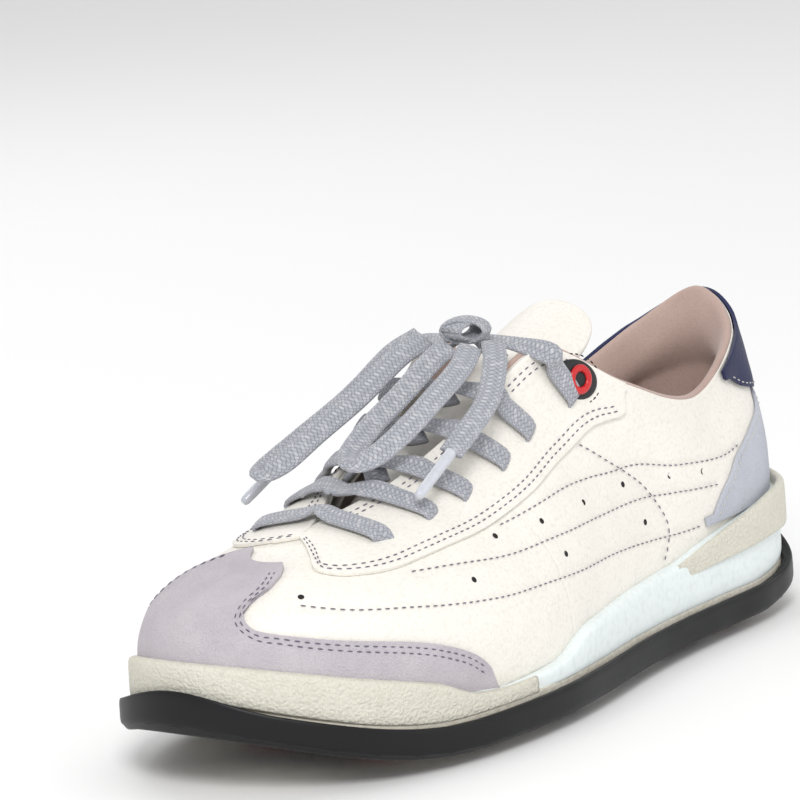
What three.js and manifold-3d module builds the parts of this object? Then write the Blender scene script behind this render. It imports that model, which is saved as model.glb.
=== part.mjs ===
// Golf shoe for the left foot, wearing a strap-on stud harness.
//
// Millimetres, +Z up. The toe points along -X and the outer (lateral) side is -Y. The origin is on the
// ground under the middle of the shoe, and the tips of the studs stand on the ground.
//
// The upper is one smooth surface. A ring coordinate r runs once round the foot: 0 at the toe, HEEL at
// the heel along the lateral side, and on to 2 * HEEL back at the toe along the medial side. A height
// coordinate t runs from 0 at the sole to 1 at the top line. Each panel of the upper is a patch of that
// surface with an inner and an outer depth from it.
import * as THREE from 'three';
import Module from 'manifold-3d';
import { mergeVertices } from 'three/addons/utils/BufferGeometryUtils.js';

const wasm = await Module();
wasm.setup();

// ---------------------------------------------------------------- driving dimensions
const FOOT_LENGTH = 292;          // toe to heel at the edge of the upper
const STUD_HEIGHT = 8.8;          // ground to the lugs of the outsole
const LUG_DEPTH = 2.6;
const OUTSOLE_THICKNESS = 3.4;    // without the lugs
const GAP = 0.4;                  // between neighbouring pieces
const TOE_SPRING = 14;            // rise of the sole at the tip of the toe
const SPRING_START = 62;          // distance from the toe where the rise begins
const HEEL_RISE = 8;              // rise of the sole at the back of the heel
const ROCKER_START = 252;
const WALL_INNER = 2.0;           // sole walls, outwards from the edge of the upper
const WALL_OUTER = 4.6;
const RIM_INNER = 5.9;            // harness rim, outwards from the edge of the upper
const RIM_OUTER = 8.3;
const WEB_TOP = -0.8;             // harness web, relative to the lug faces
const WEB_BOTTOM = -3.3;
const STUD_RADIUS = 7.8;
const PIN_RADIUS = 2.8;
const HEEL = 12;                  // stations from toe to heel
const RING = 2 * HEEL;

// Stations of the upper, from toe (0) to heel (12). Distances u are from the toe along the shoe, w is
// the distance from the middle line, z is the height over the ground.
//   foot: [lateral u, lateral w, medial u, medial w, z]
//   top: [u, w, z] of the ridge of the toe, then the throat edge, then the collar line
//   low: [out, up] of the curve's lower handle, high: [out, down] of its upper handle
const STATIONS = [
  { foot: [0, -5, 0, 5, 29], top: [46, 0, 66], low: [4, 34], high: [30, 4] },
  { foot: [7, 17, 6, 26, 28.5], top: [47, 0, 66.4], low: [4, 34], high: [30, 4] },
  { foot: [26, 36.5, 24, 41, 26], top: [51, 0, 68], low: [4, 34], high: [30, 4] },
  { foot: [53, 47, 49, 48, 24.5], top: [59, 0, 70.5], low: [3, 34], high: [30, 3] },
  { foot: [82, 51.5, 77, 50.5, 24.5], top: [73, 4.5, 74.5], low: [2, 32], high: [28, 3] },
  { foot: [111, 51.5, 106, 49, 26], top: [88, 10.5, 80], low: [0, 30], high: [24, 7] },
  { foot: [140, 47.5, 135, 43, 28.5], top: [112, 14.5, 90], low: [-1, 32], high: [22, 12] },
  { foot: [169, 42, 164, 37, 31], top: [136, 17.5, 103], low: [-2, 34], high: [15, 18] },
  { foot: [198, 38.5, 194, 34.5, 33], top: [160, 22.5, 111.5], low: [-2, 32], high: [10, 22] },
  { foot: [227, 37, 224, 35, 34.5], top: [193, 31, 94], low: [0, 26], high: [4, 20] },
  { foot: [255, 35.5, 252, 35, 36], top: [234, 31, 82], low: [2, 24], high: [4, 18] },
  { foot: [279, 27.5, 277, 28, 37], top: [275, 21, 97], low: [3, 28], high: [4, 22] },
  { foot: [292, -2, 292, 2, 37.5], top: [288, 0, 109], low: [4, 30], high: [2, 26] },
];

const COLOURS = {
  outsole: 0xded9cd, midsole: 0xe6ecec, foxing: 0xe4e1d6, leather: 0xebe8e1, toeSuede: 0xcdc6cd,
  heelSuede: 0xcdd2de, navy: 0x1c224b, lining: 0xbea59b, lace: 0xa5a8b2, harness: 0x141418,
  stud: 0xcd1419, black: 0x101012, board: 0xb49a72, steel: 0x8a8c90, textile: 0xc9c4bb,
};

// ---------------------------------------------------------------- curves over the stations
const wrap = (index) => ((index % RING) + RING) % RING;

// Smooth curve through one value per station all the way round the ring.
function smoothRing(valueAt, r) {
  const start = Math.floor(r);
  const f = r - start;
  const [a, b, c, d] = [-1, 0, 1, 2].map((step) => valueAt(wrap(start + step)));
  return 0.5 * (2 * b + (c - a) * f + (2 * a - 5 * b + 4 * c - d) * f * f
    + (3 * b - a - 3 * c + d) * f * f * f);
}

const stationOf = (index) => STATIONS[index <= HEEL ? index : RING - index];
const toX = (u) => u - FOOT_LENGTH / 2;

const footU = (index) => stationOf(index).foot[index <= HEEL ? 0 : 2];
const footY = (index) => {
  const { foot } = stationOf(index);
  return index <= HEEL ? -foot[1] : foot[3];
};

// Point on the edge of the upper, where it meets the sole.
function footPoint(r) {
  return new THREE.Vector3(
    toX(smoothRing(footU, r)),
    smoothRing(footY, r),
    smoothRing((index) => stationOf(index).foot[4], r),
  );
}

// Point on the ridge of the toe, the edge of the throat or the collar line.
function topPoint(r) {
  const y = smoothRing((index) => (index <= HEEL ? -1 : 1) * stationOf(index).top[1], r);
  return new THREE.Vector3(
    toX(smoothRing((index) => stationOf(index).top[0], r)),
    wrap(r) < HEEL ? Math.min(0, y) : Math.max(0, y),
    smoothRing((index) => stationOf(index).top[2], r),
  );
}

// Horizontal direction that leaves the outline of the foot at a right angle.
function outward(r) {
  const ahead = footPoint(r + 0.02);
  const behind = footPoint(r - 0.02);
  return new THREE.Vector3(ahead.y - behind.y, behind.x - ahead.x, 0).normalize();
}

const lowHandle = (r, k) => smoothRing((index) => stationOf(index).low[k], r);
const highHandle = (r, k) => smoothRing((index) => stationOf(index).high[k], r);

// The surface of the upper at ring coordinate r and height coordinate t.
function upper(r, t) {
  const foot = footPoint(r);
  const top = topPoint(r);
  const low = foot.clone().addScaledVector(outward(r), lowHandle(r, 0));
  low.z += lowHandle(r, 1);
  const towardsFoot = new THREE.Vector3(foot.x - top.x, foot.y - top.y, 0).normalize();
  const high = top.clone().addScaledVector(towardsFoot, highHandle(r, 0));
  high.z -= highHandle(r, 1);
  return new THREE.CubicBezierCurve3(foot, low, high, top).getPoint(t);
}

// Outward normal. Near the top line it is taken a little lower, where the ring lines lie apart.
function upperNormal(r, t) {
  const step = 0.01;
  const place = Math.min(Math.max(t, step), 0.96);
  const along = upper(r + step, place).sub(upper(r - step, place));
  const up = upper(r, place + step).sub(upper(r, place - step));
  return along.cross(up).normalize();
}

// Piecewise smooth interpolation of [position, value] pairs.
function profile(pairs) {
  return (x) => {
    if (x <= pairs[0][0]) {
      return pairs[0][1];
    }
    for (let k = 1; k < pairs.length; k += 1) {
      const [x0, y0] = pairs[k - 1];
      const [x1, y1] = pairs[k];
      if (x <= x1) {
        const f = (x - x0) / (x1 - x0);
        return y0 + (y1 - y0) * f * f * (3 - 2 * f);
      }
    }
    return pairs[pairs.length - 1][1];
  };
}

// Height of the lug faces over the ground at distance u from the toe.
function soleBottom(u) {
  const toeRise = Math.max(0, (SPRING_START - u) / SPRING_START);
  const heelRise = Math.max(0, (u - ROCKER_START) / (FOOT_LENGTH - ROCKER_START));
  return STUD_HEIGHT + TOE_SPRING * toeRise ** 1.8 + HEEL_RISE * heelRise ** 1.8;
}

// ---------------------------------------------------------------- mesh helpers
function solidFrom(points, faces) {
  const geometry = new THREE.BufferGeometry();
  const positions = points.flatMap((p) => [p.x, p.y, p.z]);
  geometry.setAttribute('position', new THREE.Float32BufferAttribute(positions, 3));
  geometry.setIndex(faces.flat());
  return geometry;
}

// Closed thin solid from a grid of { p, n, inner, outer }: a point, its outward normal and the depths
// of the two faces along it. Grid points that coincide are one point, so a grid may close on itself.
function shell(grid) {
  const seen = new Map();
  const nodes = [];
  const index = grid.map((row) => row.map((cell) => {
    const key = [cell.p.x, cell.p.y, cell.p.z].map((v) => Math.round(v * 50)).join();
    if (!seen.has(key)) {
      seen.set(key, nodes.length);
      nodes.push({ p: cell.p, n: new THREE.Vector3(), inner: cell.inner, outer: cell.outer });
    }
    nodes[seen.get(key)].n.add(cell.n);
    return seen.get(key);
  }));
  const faces = [];
  const addFace = (a, b, c) => {
    if (a !== b && b !== c && c !== a) {
      faces.push([a, b, c]);
    }
  };
  for (let i = 0; i + 1 < index.length; i += 1) {
    for (let j = 0; j + 1 < index[i].length; j += 1) {
      addFace(index[i][j], index[i + 1][j], index[i + 1][j + 1]);
      addFace(index[i][j], index[i + 1][j + 1], index[i][j + 1]);
    }
  }
  const count = nodes.length;
  const edges = new Set(faces.flatMap(([a, b, c]) => [`${a},${b}`, `${b},${c}`, `${c},${a}`]));
  const inside = faces.map(([a, b, c]) => [a + count, c + count, b + count]);
  const walls = [];
  edges.forEach((edge) => {
    const [a, b] = edge.split(',').map(Number);
    if (!edges.has(`${b},${a}`)) {
      walls.push([b, a, a + count], [b, a + count, b + count]);
    }
  });
  nodes.forEach((node) => node.n.normalize());
  const outerPoints = nodes.map((node) => node.p.clone().addScaledVector(node.n, node.outer));
  const innerPoints = nodes.map((node) => node.p.clone().addScaledVector(node.n, node.inner));
  return solidFrom([...outerPoints, ...innerPoints], [...faces, ...inside, ...walls]);
}

// Panel of the upper between ring coordinates from and to, and between the height curves low and high.
function panel({ from, to, low, high, inner, outer, across, rows }) {
  const asFunction = (value) => (typeof value === 'function' ? value : () => value);
  const [lowAt, highAt, innerAt, outerAt] = [low, high, inner, outer].map(asFunction);
  const grid = [];
  for (let i = 0; i <= across; i += 1) {
    const r = from + ((to - from) * i) / across;
    const row = [];
    for (let j = 0; j <= rows; j += 1) {
      const t = lowAt(r) + ((highAt(r) - lowAt(r)) * j) / rows;
      row.push({ p: upper(r, t), n: upperNormal(r, t), inner: innerAt(r, t), outer: outerAt(r, t) });
    }
    grid.push(row);
  }
  return shell(grid);
}

// Loops round the foot joined by walls. Each loop is a function of r that gives a point. The first and
// the last loop are closed by caps across the foot, or by a wall between them when it is a hollow ring.
function loft(loops, around, isRing = false) {
  const half = around / 2;
  const points = loops.flatMap((loop) => (
    Array.from({ length: around }, (_, i) => loop((i * RING) / around))
  ));
  const faces = [];
  const joinLoops = (lower, higher) => {
    for (let i = 0; i < around; i += 1) {
      const next = (i + 1) % around;
      const [a, b] = [lower * around + i, lower * around + next];
      const [c, d] = [higher * around + next, higher * around + i];
      faces.push([a, b, c], [a, c, d]);
    }
  };
  for (let k = 0; k + 1 < loops.length; k += 1) {
    joinLoops(k, k + 1);
  }
  if (isRing) {
    joinLoops(loops.length - 1, 0);
    return solidFrom(points, faces);
  }
  const last = (loops.length - 1) * around;
  for (let i = 0; i < half; i += 1) {
    const [a, b] = [i, i + 1];
    const [c, d] = [(around - i - 1) % around, (around - i) % around];
    [[a, b, c], [a, c, d]].forEach(([p, q, s]) => {
      if (p !== q && q !== s && s !== p) {
        faces.push([p, s, q], [last + p, last + q, last + s]);
      }
    });
  }
  return solidFrom(points, faces);
}

// Loop at a distance out from the outline of the foot and at a height given by the distance u.
function loopAt(out, heightAt) {
  const outAt = typeof out === 'function' ? out : () => out;
  return (r) => {
    const point = footPoint(r).addScaledVector(outward(r), outAt(r));
    point.z = heightAt(point.x + FOOT_LENGTH / 2, r);
    return point;
  };
}

// How far out from the outline of the foot the upper stands at height z.
function upperOut(r, z) {
  let [low, high] = [0, 1];
  for (let k = 0; k < 20; k += 1) {
    const middle = (low + high) / 2;
    if (upper(r, middle).z < z) {
      low = middle;
    } else {
      high = middle;
    }
  }
  return Math.max(0, upper(r, low).sub(footPoint(r)).dot(outward(r)));
}

function toManifold(geometry) {
  const bare = geometry.clone();
  bare.deleteAttribute('normal');
  bare.deleteAttribute('uv');
  const merged = mergeVertices(bare, 1e-4);
  return new wasm.Manifold(new wasm.Mesh({
    numProp: 3,
    vertProperties: new Float32Array(merged.attributes.position.array),
    triVerts: new Uint32Array(merged.index.array),
  }));
}

function fromManifold(solid) {
  const mesh = solid.getMesh();
  const geometry = new THREE.BufferGeometry();
  geometry.setAttribute('position', new THREE.Float32BufferAttribute(mesh.vertProperties, 3));
  geometry.setIndex(Array.from(mesh.triVerts));
  return geometry;
}

const joined = (geometries) => fromManifold(
  geometries.map(toManifold).reduce((whole, piece) => whole.add(piece)),
);

// Moves every point of a flat-made sole piece up with the rise of the toe.
function bendWithSole(geometry) {
  const { position } = geometry.attributes;
  for (let k = 0; k < position.count; k += 1) {
    const u = position.getX(k) + FOOT_LENGTH / 2;
    position.setZ(k, position.getZ(k) + soleBottom(u));
  }
  return geometry;
}

const shoe = new THREE.Group();

function addPiece(name, geometry, colour, roughness = 0.6, metalness = 0) {
  const material = new THREE.MeshStandardMaterial({ color: colour, roughness, metalness });
  const mesh = new THREE.Mesh(geometry, material);
  mesh.name = name;
  shoe.add(mesh);
  return mesh;
}

// ---------------------------------------------------------------- sole
const AROUND = 56;                 // points round the sole
const OUTSOLE_TOP = LUG_DEPTH + OUTSOLE_THICKNESS;
const MIDSOLE_BOTTOM = OUTSOLE_TOP + GAP;
const footbed = (u, r) => footPoint(r).z - GAP;
const overSole = (height) => (u) => soleBottom(u) + height;

// Height of the sole walls over the edge of the upper, by ring coordinate.
const both = (curve) => (r) => curve(Math.min(wrap(r), RING - wrap(r)));
const FOXING_END = 4.2;
const STABILISER_START = 8.1;
const STABILISER_LOW = -7.3;
const stabiliserTop = both(profile([[STABILISER_START, -1.7], [8.7, 0.6], [10.8, 8], [12, 9]]));
const midsoleWall = both(profile([
  [0, 1], [3.2, 1], [4.1, -5.4], [5, -5.6], [5.9, -0.6], [8.1, -1.6], [8.7, 0.4], [10.8, 5], [12, 6],
]));
const foxingWall = both(profile([
  [0, 13], [1.5, 10.5], [3, 3], [3.6, -3.6], [FOXING_END, -5.2],
]));
const midsoleSide = both(profile([[0, 1.2], [3.8, 1.2], [5, WALL_OUTER], [12, WALL_OUTER]]));

// One lug, standing on the underside of the outsole: an ellipse turned by angle.
function lug(u, y, length, width, angle) {
  const outline = new THREE.Shape();
  outline.absellipse(0, 0, length / 2, width / 2, 0, 2 * Math.PI);
  const sunk = 0.8;
  const body = new THREE.ExtrudeGeometry(outline, {
    depth: LUG_DEPTH + sunk, bevelEnabled: false, curveSegments: width < 7 ? 3 : 4,
  });
  body.rotateZ(angle);
  body.translate(toX(u), y, 0);
  return body;
}

// Sides of the foot's outline at distance u from the toe: [lateral y, medial y].
function outlineSides(u) {
  const rings = Array.from({ length: 10 * HEEL + 1 }, (_, k) => k / 10);
  const miss = (r) => Math.abs(footPoint(r).x - toX(u));
  return [rings, rings.map((r) => RING - r)].map((side) => (
    footPoint(side.reduce((best, r) => (miss(r) < miss(best) ? r : best))).y
  ));
}

const onTread = (u, y, margin) => {
  const [lateral, medial] = outlineSides(u);
  return u > margin && u < FOOT_LENGTH - margin && y > lateral + margin && y < medial - margin;
};

const LUG_START = 17;
const LUG_PITCH = [29, 17];
const LEAF = [25, 10];
const DOT = 6.6;
const LEAN = -0.62;
function outsole() {
  const base = loft([
    loopAt(0, () => LUG_DEPTH),
    loopAt(WALL_OUTER - 1, () => LUG_DEPTH + 0.6),
    loopAt(WALL_OUTER, () => LUG_DEPTH + 1.6),
    loopAt(WALL_OUTER, () => OUTSOLE_TOP),
  ], AROUND);
  const lugs = [];
  for (let row = 0; row < 10; row += 1) {
    for (let column = -3; column <= 3; column += 1) {
      const [u, y] = [LUG_START + row * LUG_PITCH[0], column * LUG_PITCH[1]];
      const reach = [0.3 * LEAF[0] * Math.cos(LEAN), 0.3 * LEAF[0] * Math.sin(LEAN)];
      if (onTread(u + reach[0], y + reach[1], 3) && onTread(u - reach[0], y - reach[1], 3)) {
        lugs.push(lug(u, y, ...LEAF, LEAN));
      }
      if (onTread(u + LUG_PITCH[0] / 2, y + LUG_PITCH[1] / 2, 6)) {
        lugs.push(lug(u + LUG_PITCH[0] / 2, y + LUG_PITCH[1] / 2, DOT, DOT, 0));
      }
    }
  }
  return bendWithSole(joined([base, ...lugs]));
}

addPiece('outsole', outsole(), COLOURS.outsole, 0.8);

const wallTop = (u, r) => footPoint(r).z + midsoleWall(r);
const wallFlare = (r) => upperOut(r, wallTop(0, r));
addPiece('midsole', loft([
  loopAt(midsoleSide, overSole(MIDSOLE_BOTTOM)),
  loopAt((r) => midsoleSide(r) - 0.3, (u, r) => (
    (soleBottom(u) + MIDSOLE_BOTTOM + wallTop(u, r)) / 2
  )),
  loopAt((r) => midsoleSide(r) + wallFlare(r), wallTop),
  loopAt((r) => 0.7 + wallFlare(r), wallTop),
  loopAt((r) => 0.7 + wallFlare(r) / 2, (u, r) => (wallTop(u, r) + footbed(u, r)) / 2),
  loopAt(0.7, footbed),
], AROUND), COLOURS.midsole, 0.5);

// Height of the lug faces below the outer side of the sole walls.
function soleHeight(r) {
  const side = footPoint(r).addScaledVector(outward(r), WALL_OUTER + 1);
  return soleBottom(side.x + FOOT_LENGTH / 2);
}

// A wall outside the midsole between two ring coordinates, as a rounded strip.
function soleStrip(from, to, innerAt, outerAt, lowAt, highAt, steps) {
  const grid = [];
  for (let i = 0; i <= steps; i += 1) {
    const r = from + ((to - from) * i) / steps;
    const row = [];
    for (let j = 0; j <= 3; j += 1) {
      const p = footPoint(r).addScaledVector(outward(r), innerAt(r));
      p.z = lowAt(r) + ((highAt(r) - lowAt(r)) * j) / 3;
      const crown = j === 1 || j === 2 ? 0.6 : 0;
      row.push({ p, n: outward(r), inner: 0, outer: outerAt(r) - innerAt(r) + crown });
    }
    grid.push(row);
  }
  return shell(grid);
}

addPiece('toe_foxing', soleStrip(
  RING - FOXING_END, RING + FOXING_END,
  (r) => Math.max(midsoleSide(r) + 0.5, WALL_INNER),
  () => WALL_OUTER,
  (r) => soleHeight(r) + MIDSOLE_BOTTOM,
  (r) => footPoint(r).z + foxingWall(r),
  24,
), COLOURS.foxing, 0.85);

addPiece('heel_stabiliser', soleStrip(
  STABILISER_START, RING - STABILISER_START,
  (r) => WALL_OUTER + wallFlare(r) + 0.5,
  (r) => WALL_OUTER + wallFlare(r) + both(profile([[STABILISER_START, 1.2], [9, 2.6]]))(r),
  (r) => footPoint(r).z + STABILISER_LOW,
  (r) => footPoint(r).z + stabiliserTop(r),
  56,
), COLOURS.foxing, 0.85);

// Flat layers between the foot and the midsole, inset from the upper.
function footLayer(inset, low, high, from = 0, to = HEEL) {
  const grid = [];
  const steps = 20;
  for (let i = 0; i <= steps; i += 1) {
    const r = from + ((to - from) * i) / steps;
    const [a, b] = [r, RING - r].map((ring) => footPoint(ring).addScaledVector(outward(ring), -inset));
    const height = (footPoint(r).z + footPoint(RING - r).z) / 2 - GAP;
    grid.push([a, b].map((p) => ({
      p: new THREE.Vector3(p.x, p.y, height), n: new THREE.Vector3(0, 0, 1), inner: low, outer: high,
    })));
  }
  return shell(grid);
}

function shank() {
  const grid = [];
  for (let i = 0; i <= 6; i += 1) {
    const x = toX(150 + i * 18);
    const height = footPoint(6.4 + i * 0.62).z - GAP;
    const half = 9 - Math.abs(i - 3);
    grid.push([-half, half].map((y) => ({
      p: new THREE.Vector3(x, y, height), n: new THREE.Vector3(0, 0, 1), inner: 0.5, outer: 1.7,
    })));
  }
  return shell(grid);
}

addPiece('shank', shank(), COLOURS.steel, 0.35, 0.9);
addPiece('insole_board', footLayer(6.2, 2.4, 4.0), COLOURS.board, 0.9);
addPiece('sockliner', footLayer(7.6, 4.6, 8.4), COLOURS.textile, 0.9);

// ---------------------------------------------------------------- upper
const LEATHER = { inner: -1.3, outer: 0 };
const OVERLAY = { inner: 0.66, outer: 1.6 };
const STIFFENER = { inner: -2.9, outer: -2.2 };
const VAMP_END = 5.6;

addPiece('vamp', panel({
  from: -VAMP_END, to: VAMP_END, low: 0, high: 1, ...LEATHER, across: 28, rows: 6,
}), COLOURS.leather);

[['lateral', 1], ['medial', -1]].forEach(([side, sign]) => {
  const span = [VAMP_END + 0.05, HEEL - 0.02].map((r) => (sign > 0 ? r : RING - r));
  addPiece(`quarter_${side}`, panel({
    from: Math.min(...span), to: Math.max(...span), low: 0, high: 1, ...LEATHER, across: 15, rows: 6,
  }), COLOURS.leather);
});

const CAP_END = 4.6;
const capTop = both(profile([[0, 0.8], [0.7, 0.77], [1.5, 0.34], [2.9, 0.24], [CAP_END, 0.12]]));
const capLow = both(profile([[0, 0.2], [1.5, 0.14], [2.4, 0.1], [CAP_END, 0.06]]));
addPiece('toe_cap', panel({
  from: -CAP_END, to: CAP_END, low: capLow, high: (r) => Math.max(capTop(r), capLow(r) + 0.03),
  ...OVERLAY, across: 32, rows: 8,
}), COLOURS.toeSuede, 0.95);

const STAY_END = 8.4;
const stayEdge = both(profile([[2.0, 1], [2.7, 0.72], [4.0, 0.58], [7, 0.58], [STAY_END, 0.76]]));
addPiece('eyestay', panel({
  from: -STAY_END, to: STAY_END, low: stayEdge, high: 1, ...OVERLAY, across: 48, rows: 5,
}), COLOURS.leather);

const COUNTER_FRONT = 9.3;
const counterTop = both(profile([[COUNTER_FRONT, 0.18], [10.2, 0.42], [11, 0.5], [12, 0.62]]));
addPiece('heel_counter_overlay', panel({
  from: COUNTER_FRONT, to: RING - COUNTER_FRONT, low: 0.15, high: (r) => Math.max(counterTop(r), 0.18),
  ...OVERLAY, across: 14, rows: 3,
}), COLOURS.heelSuede, 0.95);

const TAB_FRONT = 10.2;
const tabLow = both(profile([[TAB_FRONT, 0.95], [11, 0.64], [11.4, 0.6], [12, 0.68]]));
addPiece('heel_tab', panel({
  from: TAB_FRONT, to: RING - TAB_FRONT, low: tabLow, high: 1, ...OVERLAY, across: 16, rows: 4,
}), COLOURS.navy, 0.6);

addPiece('toe_puff', panel({
  from: -3.2, to: 3.2, low: 0.06, high: both(profile([[0, 0.7], [3.2, 0.45]])), ...STIFFENER,
  across: 14, rows: 4,
}), COLOURS.board, 0.9);

addPiece('heel_counter_stiffener', panel({
  from: 9.4, to: RING - 9.4, low: 0.04, high: both(profile([[9.4, 0.4], [12, 0.62]])), ...STIFFENER,
  across: 12, rows: 3,
}), COLOURS.board, 0.9);

// The lining stands clear of the stiffeners, and swells inwards round the collar.
const COLLAR_BAND = 0.62;
const LINING_DEPTH = -3.9;
const swell = (r, t) => {
  const height = Math.sin(Math.PI * Math.min(Math.max((t - COLLAR_BAND) / (1 - COLLAR_BAND), 0), 1));
  return 5 * height * both(profile([[8.0, 0], [8.8, 1], [12, 0.8]]))(r);
};
const toeRoom = both(profile([[0, 2.2], [3, 0]]));
const LINING_JOIN = 7.2;
addPiece('vamp_lining', panel({
  from: -LINING_JOIN, to: LINING_JOIN, low: 0.06, high: 1,
  inner: (r, t) => LINING_DEPTH - 0.8 - toeRoom(r) * t * t,
  outer: (r, t) => LINING_DEPTH - toeRoom(r) * t * t,
  across: 36, rows: 6,
}), COLOURS.textile, 0.9);
addPiece('collar_lining', panel({
  from: LINING_JOIN + 0.05, to: RING - LINING_JOIN - 0.05, low: 0.06, high: 1,
  inner: (r, t) => LINING_DEPTH - 0.8 - swell(r, t), outer: (r, t) => LINING_DEPTH - swell(r, t),
  across: 24, rows: 9,
}), COLOURS.lining, 0.9);
addPiece('collar_foam', panel({
  from: 8.5, to: RING - 8.5, low: COLLAR_BAND + 0.07, high: 0.93,
  inner: (r, t) => LINING_DEPTH + 1.1 - swell(r, t), outer: -2.4, across: 24, rows: 4,
}), COLOURS.textile, 0.9);

// ---------------------------------------------------------------- tongue
// Stations along the tongue: distance from the toe, height of its crown, half width, drop at the sides.
const TONGUE_LOWER = [[77, 69.5, 7, 4], [90, 75, 14, 9], [112, 84.5, 19, 11], [138, 95.5, 19, 11],
  [158, 102.5, 18, 10], [164, 105, 18, 9]];
const TONGUE_TOP = [[165.5, 106, 17, 5], [176, 110, 20, 6], [187, 114.5, 20, 6], [196, 118.5, 17, 5],
  [200, 121, 11, 3]];

function tongue(stations, thickness) {
  const grid = stations.map(([u, z, half, drop], i) => {
    const [before, after] = [stations[Math.max(i - 1, 0)], stations[Math.min(i + 1, stations.length - 1)]];
    const slope = new THREE.Vector3(after[0] - before[0], 0, after[1] - before[1]).normalize();
    return Array.from({ length: 9 }, (_, j) => {
      const side = j / 4 - 1;
      const across = new THREE.Vector3(0, half, -2 * drop * side).normalize();
      return {
        p: new THREE.Vector3(toX(u), side * half, z - drop * side * side),
        n: slope.clone().cross(across).normalize(), inner: -thickness, outer: 0,
      };
    });
  });
  return shell(grid);
}

addPiece('tongue_lower', tongue(TONGUE_LOWER, 3.2), COLOURS.leather);
addPiece('tongue_top', tongue(TONGUE_TOP, 6), COLOURS.leather);

// ---------------------------------------------------------------- eyelets
const EYELET = { r: 8.15, t: 0.84 };

// Turns and moves a piece made along +Z so that it stands on the upper at ring r, height t and depth.
function standOn(geometry, r, t, depth) {
  const turn = new THREE.Quaternion().setFromUnitVectors(new THREE.Vector3(0, 0, 1), upperNormal(r, t));
  const place = upper(r, t).addScaledVector(upperNormal(r, t), depth);
  return geometry.applyQuaternion(turn).translate(place.x, place.y, place.z);
}

// Turned ring from a closed section of [radius, height] points.
function turned(section, segments) {
  const points = section.map(([x, y]) => new THREE.Vector2(x, y));
  return new THREE.LatheGeometry(points, segments).rotateX(Math.PI / 2);
}

[['lateral', (r) => r], ['medial', (r) => RING - r]].forEach(([side, ring]) => {
  const patch = new THREE.CylinderGeometry(1, 1, 0.6, 20).rotateX(Math.PI / 2).scale(10, 7, 1);
  addPiece(`eyelet_patch_${side}`, standOn(patch, ring(EYELET.r), EYELET.t, 2.95), COLOURS.black);
  const section = [[2.6, 0], [5, 0], [5, 0.7], [3.8, 1.3], [2.6, 0.7], [2.6, 0]];
  const eyelet = turned(section, 16);
  addPiece(`eyelet_ring_${side}`, standOn(eyelet, ring(EYELET.r), EYELET.t, 3.65), COLOURS.stud, 0.35);
});

// ---------------------------------------------------------------- lace
const LACE_WIDTH = 8;
const LACE_THICKNESS = 2;
const LACE_SIDES = 8;
const LACE_ROWS = [4.5, 5.3, 6.1, 6.8, 7.4];    // ring coordinates of the lace holes
const HOLE_HEIGHT = 0.78;
const NARROW_THROAT = 9;                         // half width under which a strand ends over its own edge

// Flat lace swept along points, with its width kept level with the given normals where it can be.
function laceAlong(points, normals, step = 8) {
  const curve = new THREE.CatmullRomCurve3(points);
  const count = Math.max(3, Math.round(curve.getLength() / step));
  const ring = Array.from({ length: LACE_SIDES }, (_, k) => {
    const angle = (2 * Math.PI * (k + 0.5)) / LACE_SIDES;
    return [Math.cos(angle) * LACE_WIDTH / 2, Math.sin(angle) * LACE_THICKNESS / 2];
  });
  const vertices = [];
  for (let k = 0; k <= count; k += 1) {
    const place = (k / count) * (points.length - 1);
    const low = Math.min(Math.floor(place), points.length - 2);
    const up = normals[low].clone().lerp(normals[low + 1], place - low);
    const along = curve.getTangent(k / count);
    const side = along.clone().cross(up).normalize();
    const lift = side.clone().cross(along).normalize();
    const centre = curve.getPoint(k / count);
    ring.forEach(([x, z]) => {
      vertices.push(centre.clone().addScaledVector(side, x).addScaledVector(lift, z));
    });
  }
  const faces = [];
  for (let k = 0; k < count; k += 1) {
    for (let j = 0; j < LACE_SIDES; j += 1) {
      const next = (j + 1) % LACE_SIDES;
      const [a, b] = [k * LACE_SIDES + j, k * LACE_SIDES + next];
      faces.push([a, b, b + LACE_SIDES], [a, b + LACE_SIDES, a + LACE_SIDES]);
    }
  }
  const last = count * LACE_SIDES;
  for (let j = 1; j + 1 < LACE_SIDES; j += 1) {
    faces.push([0, j + 1, j], [last, last + j, last + j + 1]);
  }
  return solidFrom(vertices, faces.map(([a, b, c]) => [a, c, b]));
}

const UP = new THREE.Vector3(0, 0, 1);
const onUpper = (r, t, depth) => upper(r, t).addScaledVector(upperNormal(r, t), depth);

// One crossing: a strand from each side's hole over the facing's edge to the far side of the tongue.
function crossing(r) {
  const strands = [[r, 1], [RING - r, -1]].map(([ring, sign]) => {
    const edge = topPoint(ring);
    const endRise = Math.abs(edge.y) < NARROW_THROAT ? 3.2 : -1.6;
    const start = onUpper(ring, HOLE_HEIGHT, 3.5);
    const side = onUpper(ring, 0.89, 4.4);
    const rim = onUpper(ring, 0.985, 5.2);
    const middle = new THREE.Vector3(edge.x - 4, 0, edge.z + 3.6);
    const end = new THREE.Vector3(edge.x - 8, 0.55 * sign * Math.abs(edge.y), edge.z + endRise);
    return laceAlong(
      [start, side, rim, middle, end],
      [upperNormal(ring, HOLE_HEIGHT), upperNormal(ring, 0.89), upperNormal(ring, 0.96), UP, UP],
    );
  });
  return joined(strands);
}

function bottomBar() {
  const r = LACE_ROWS[0] - 1.1;
  const [lateral, medial] = [r, RING - r].map((ring) => onUpper(ring, HOLE_HEIGHT, 3.4));
  const middle = topPoint(r).setY(0).add(new THREE.Vector3(0, 0, 4.6));
  return laceAlong([lateral, middle, medial], [upperNormal(r, 0.9), UP, upperNormal(RING - r, 0.9)]);
}

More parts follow.
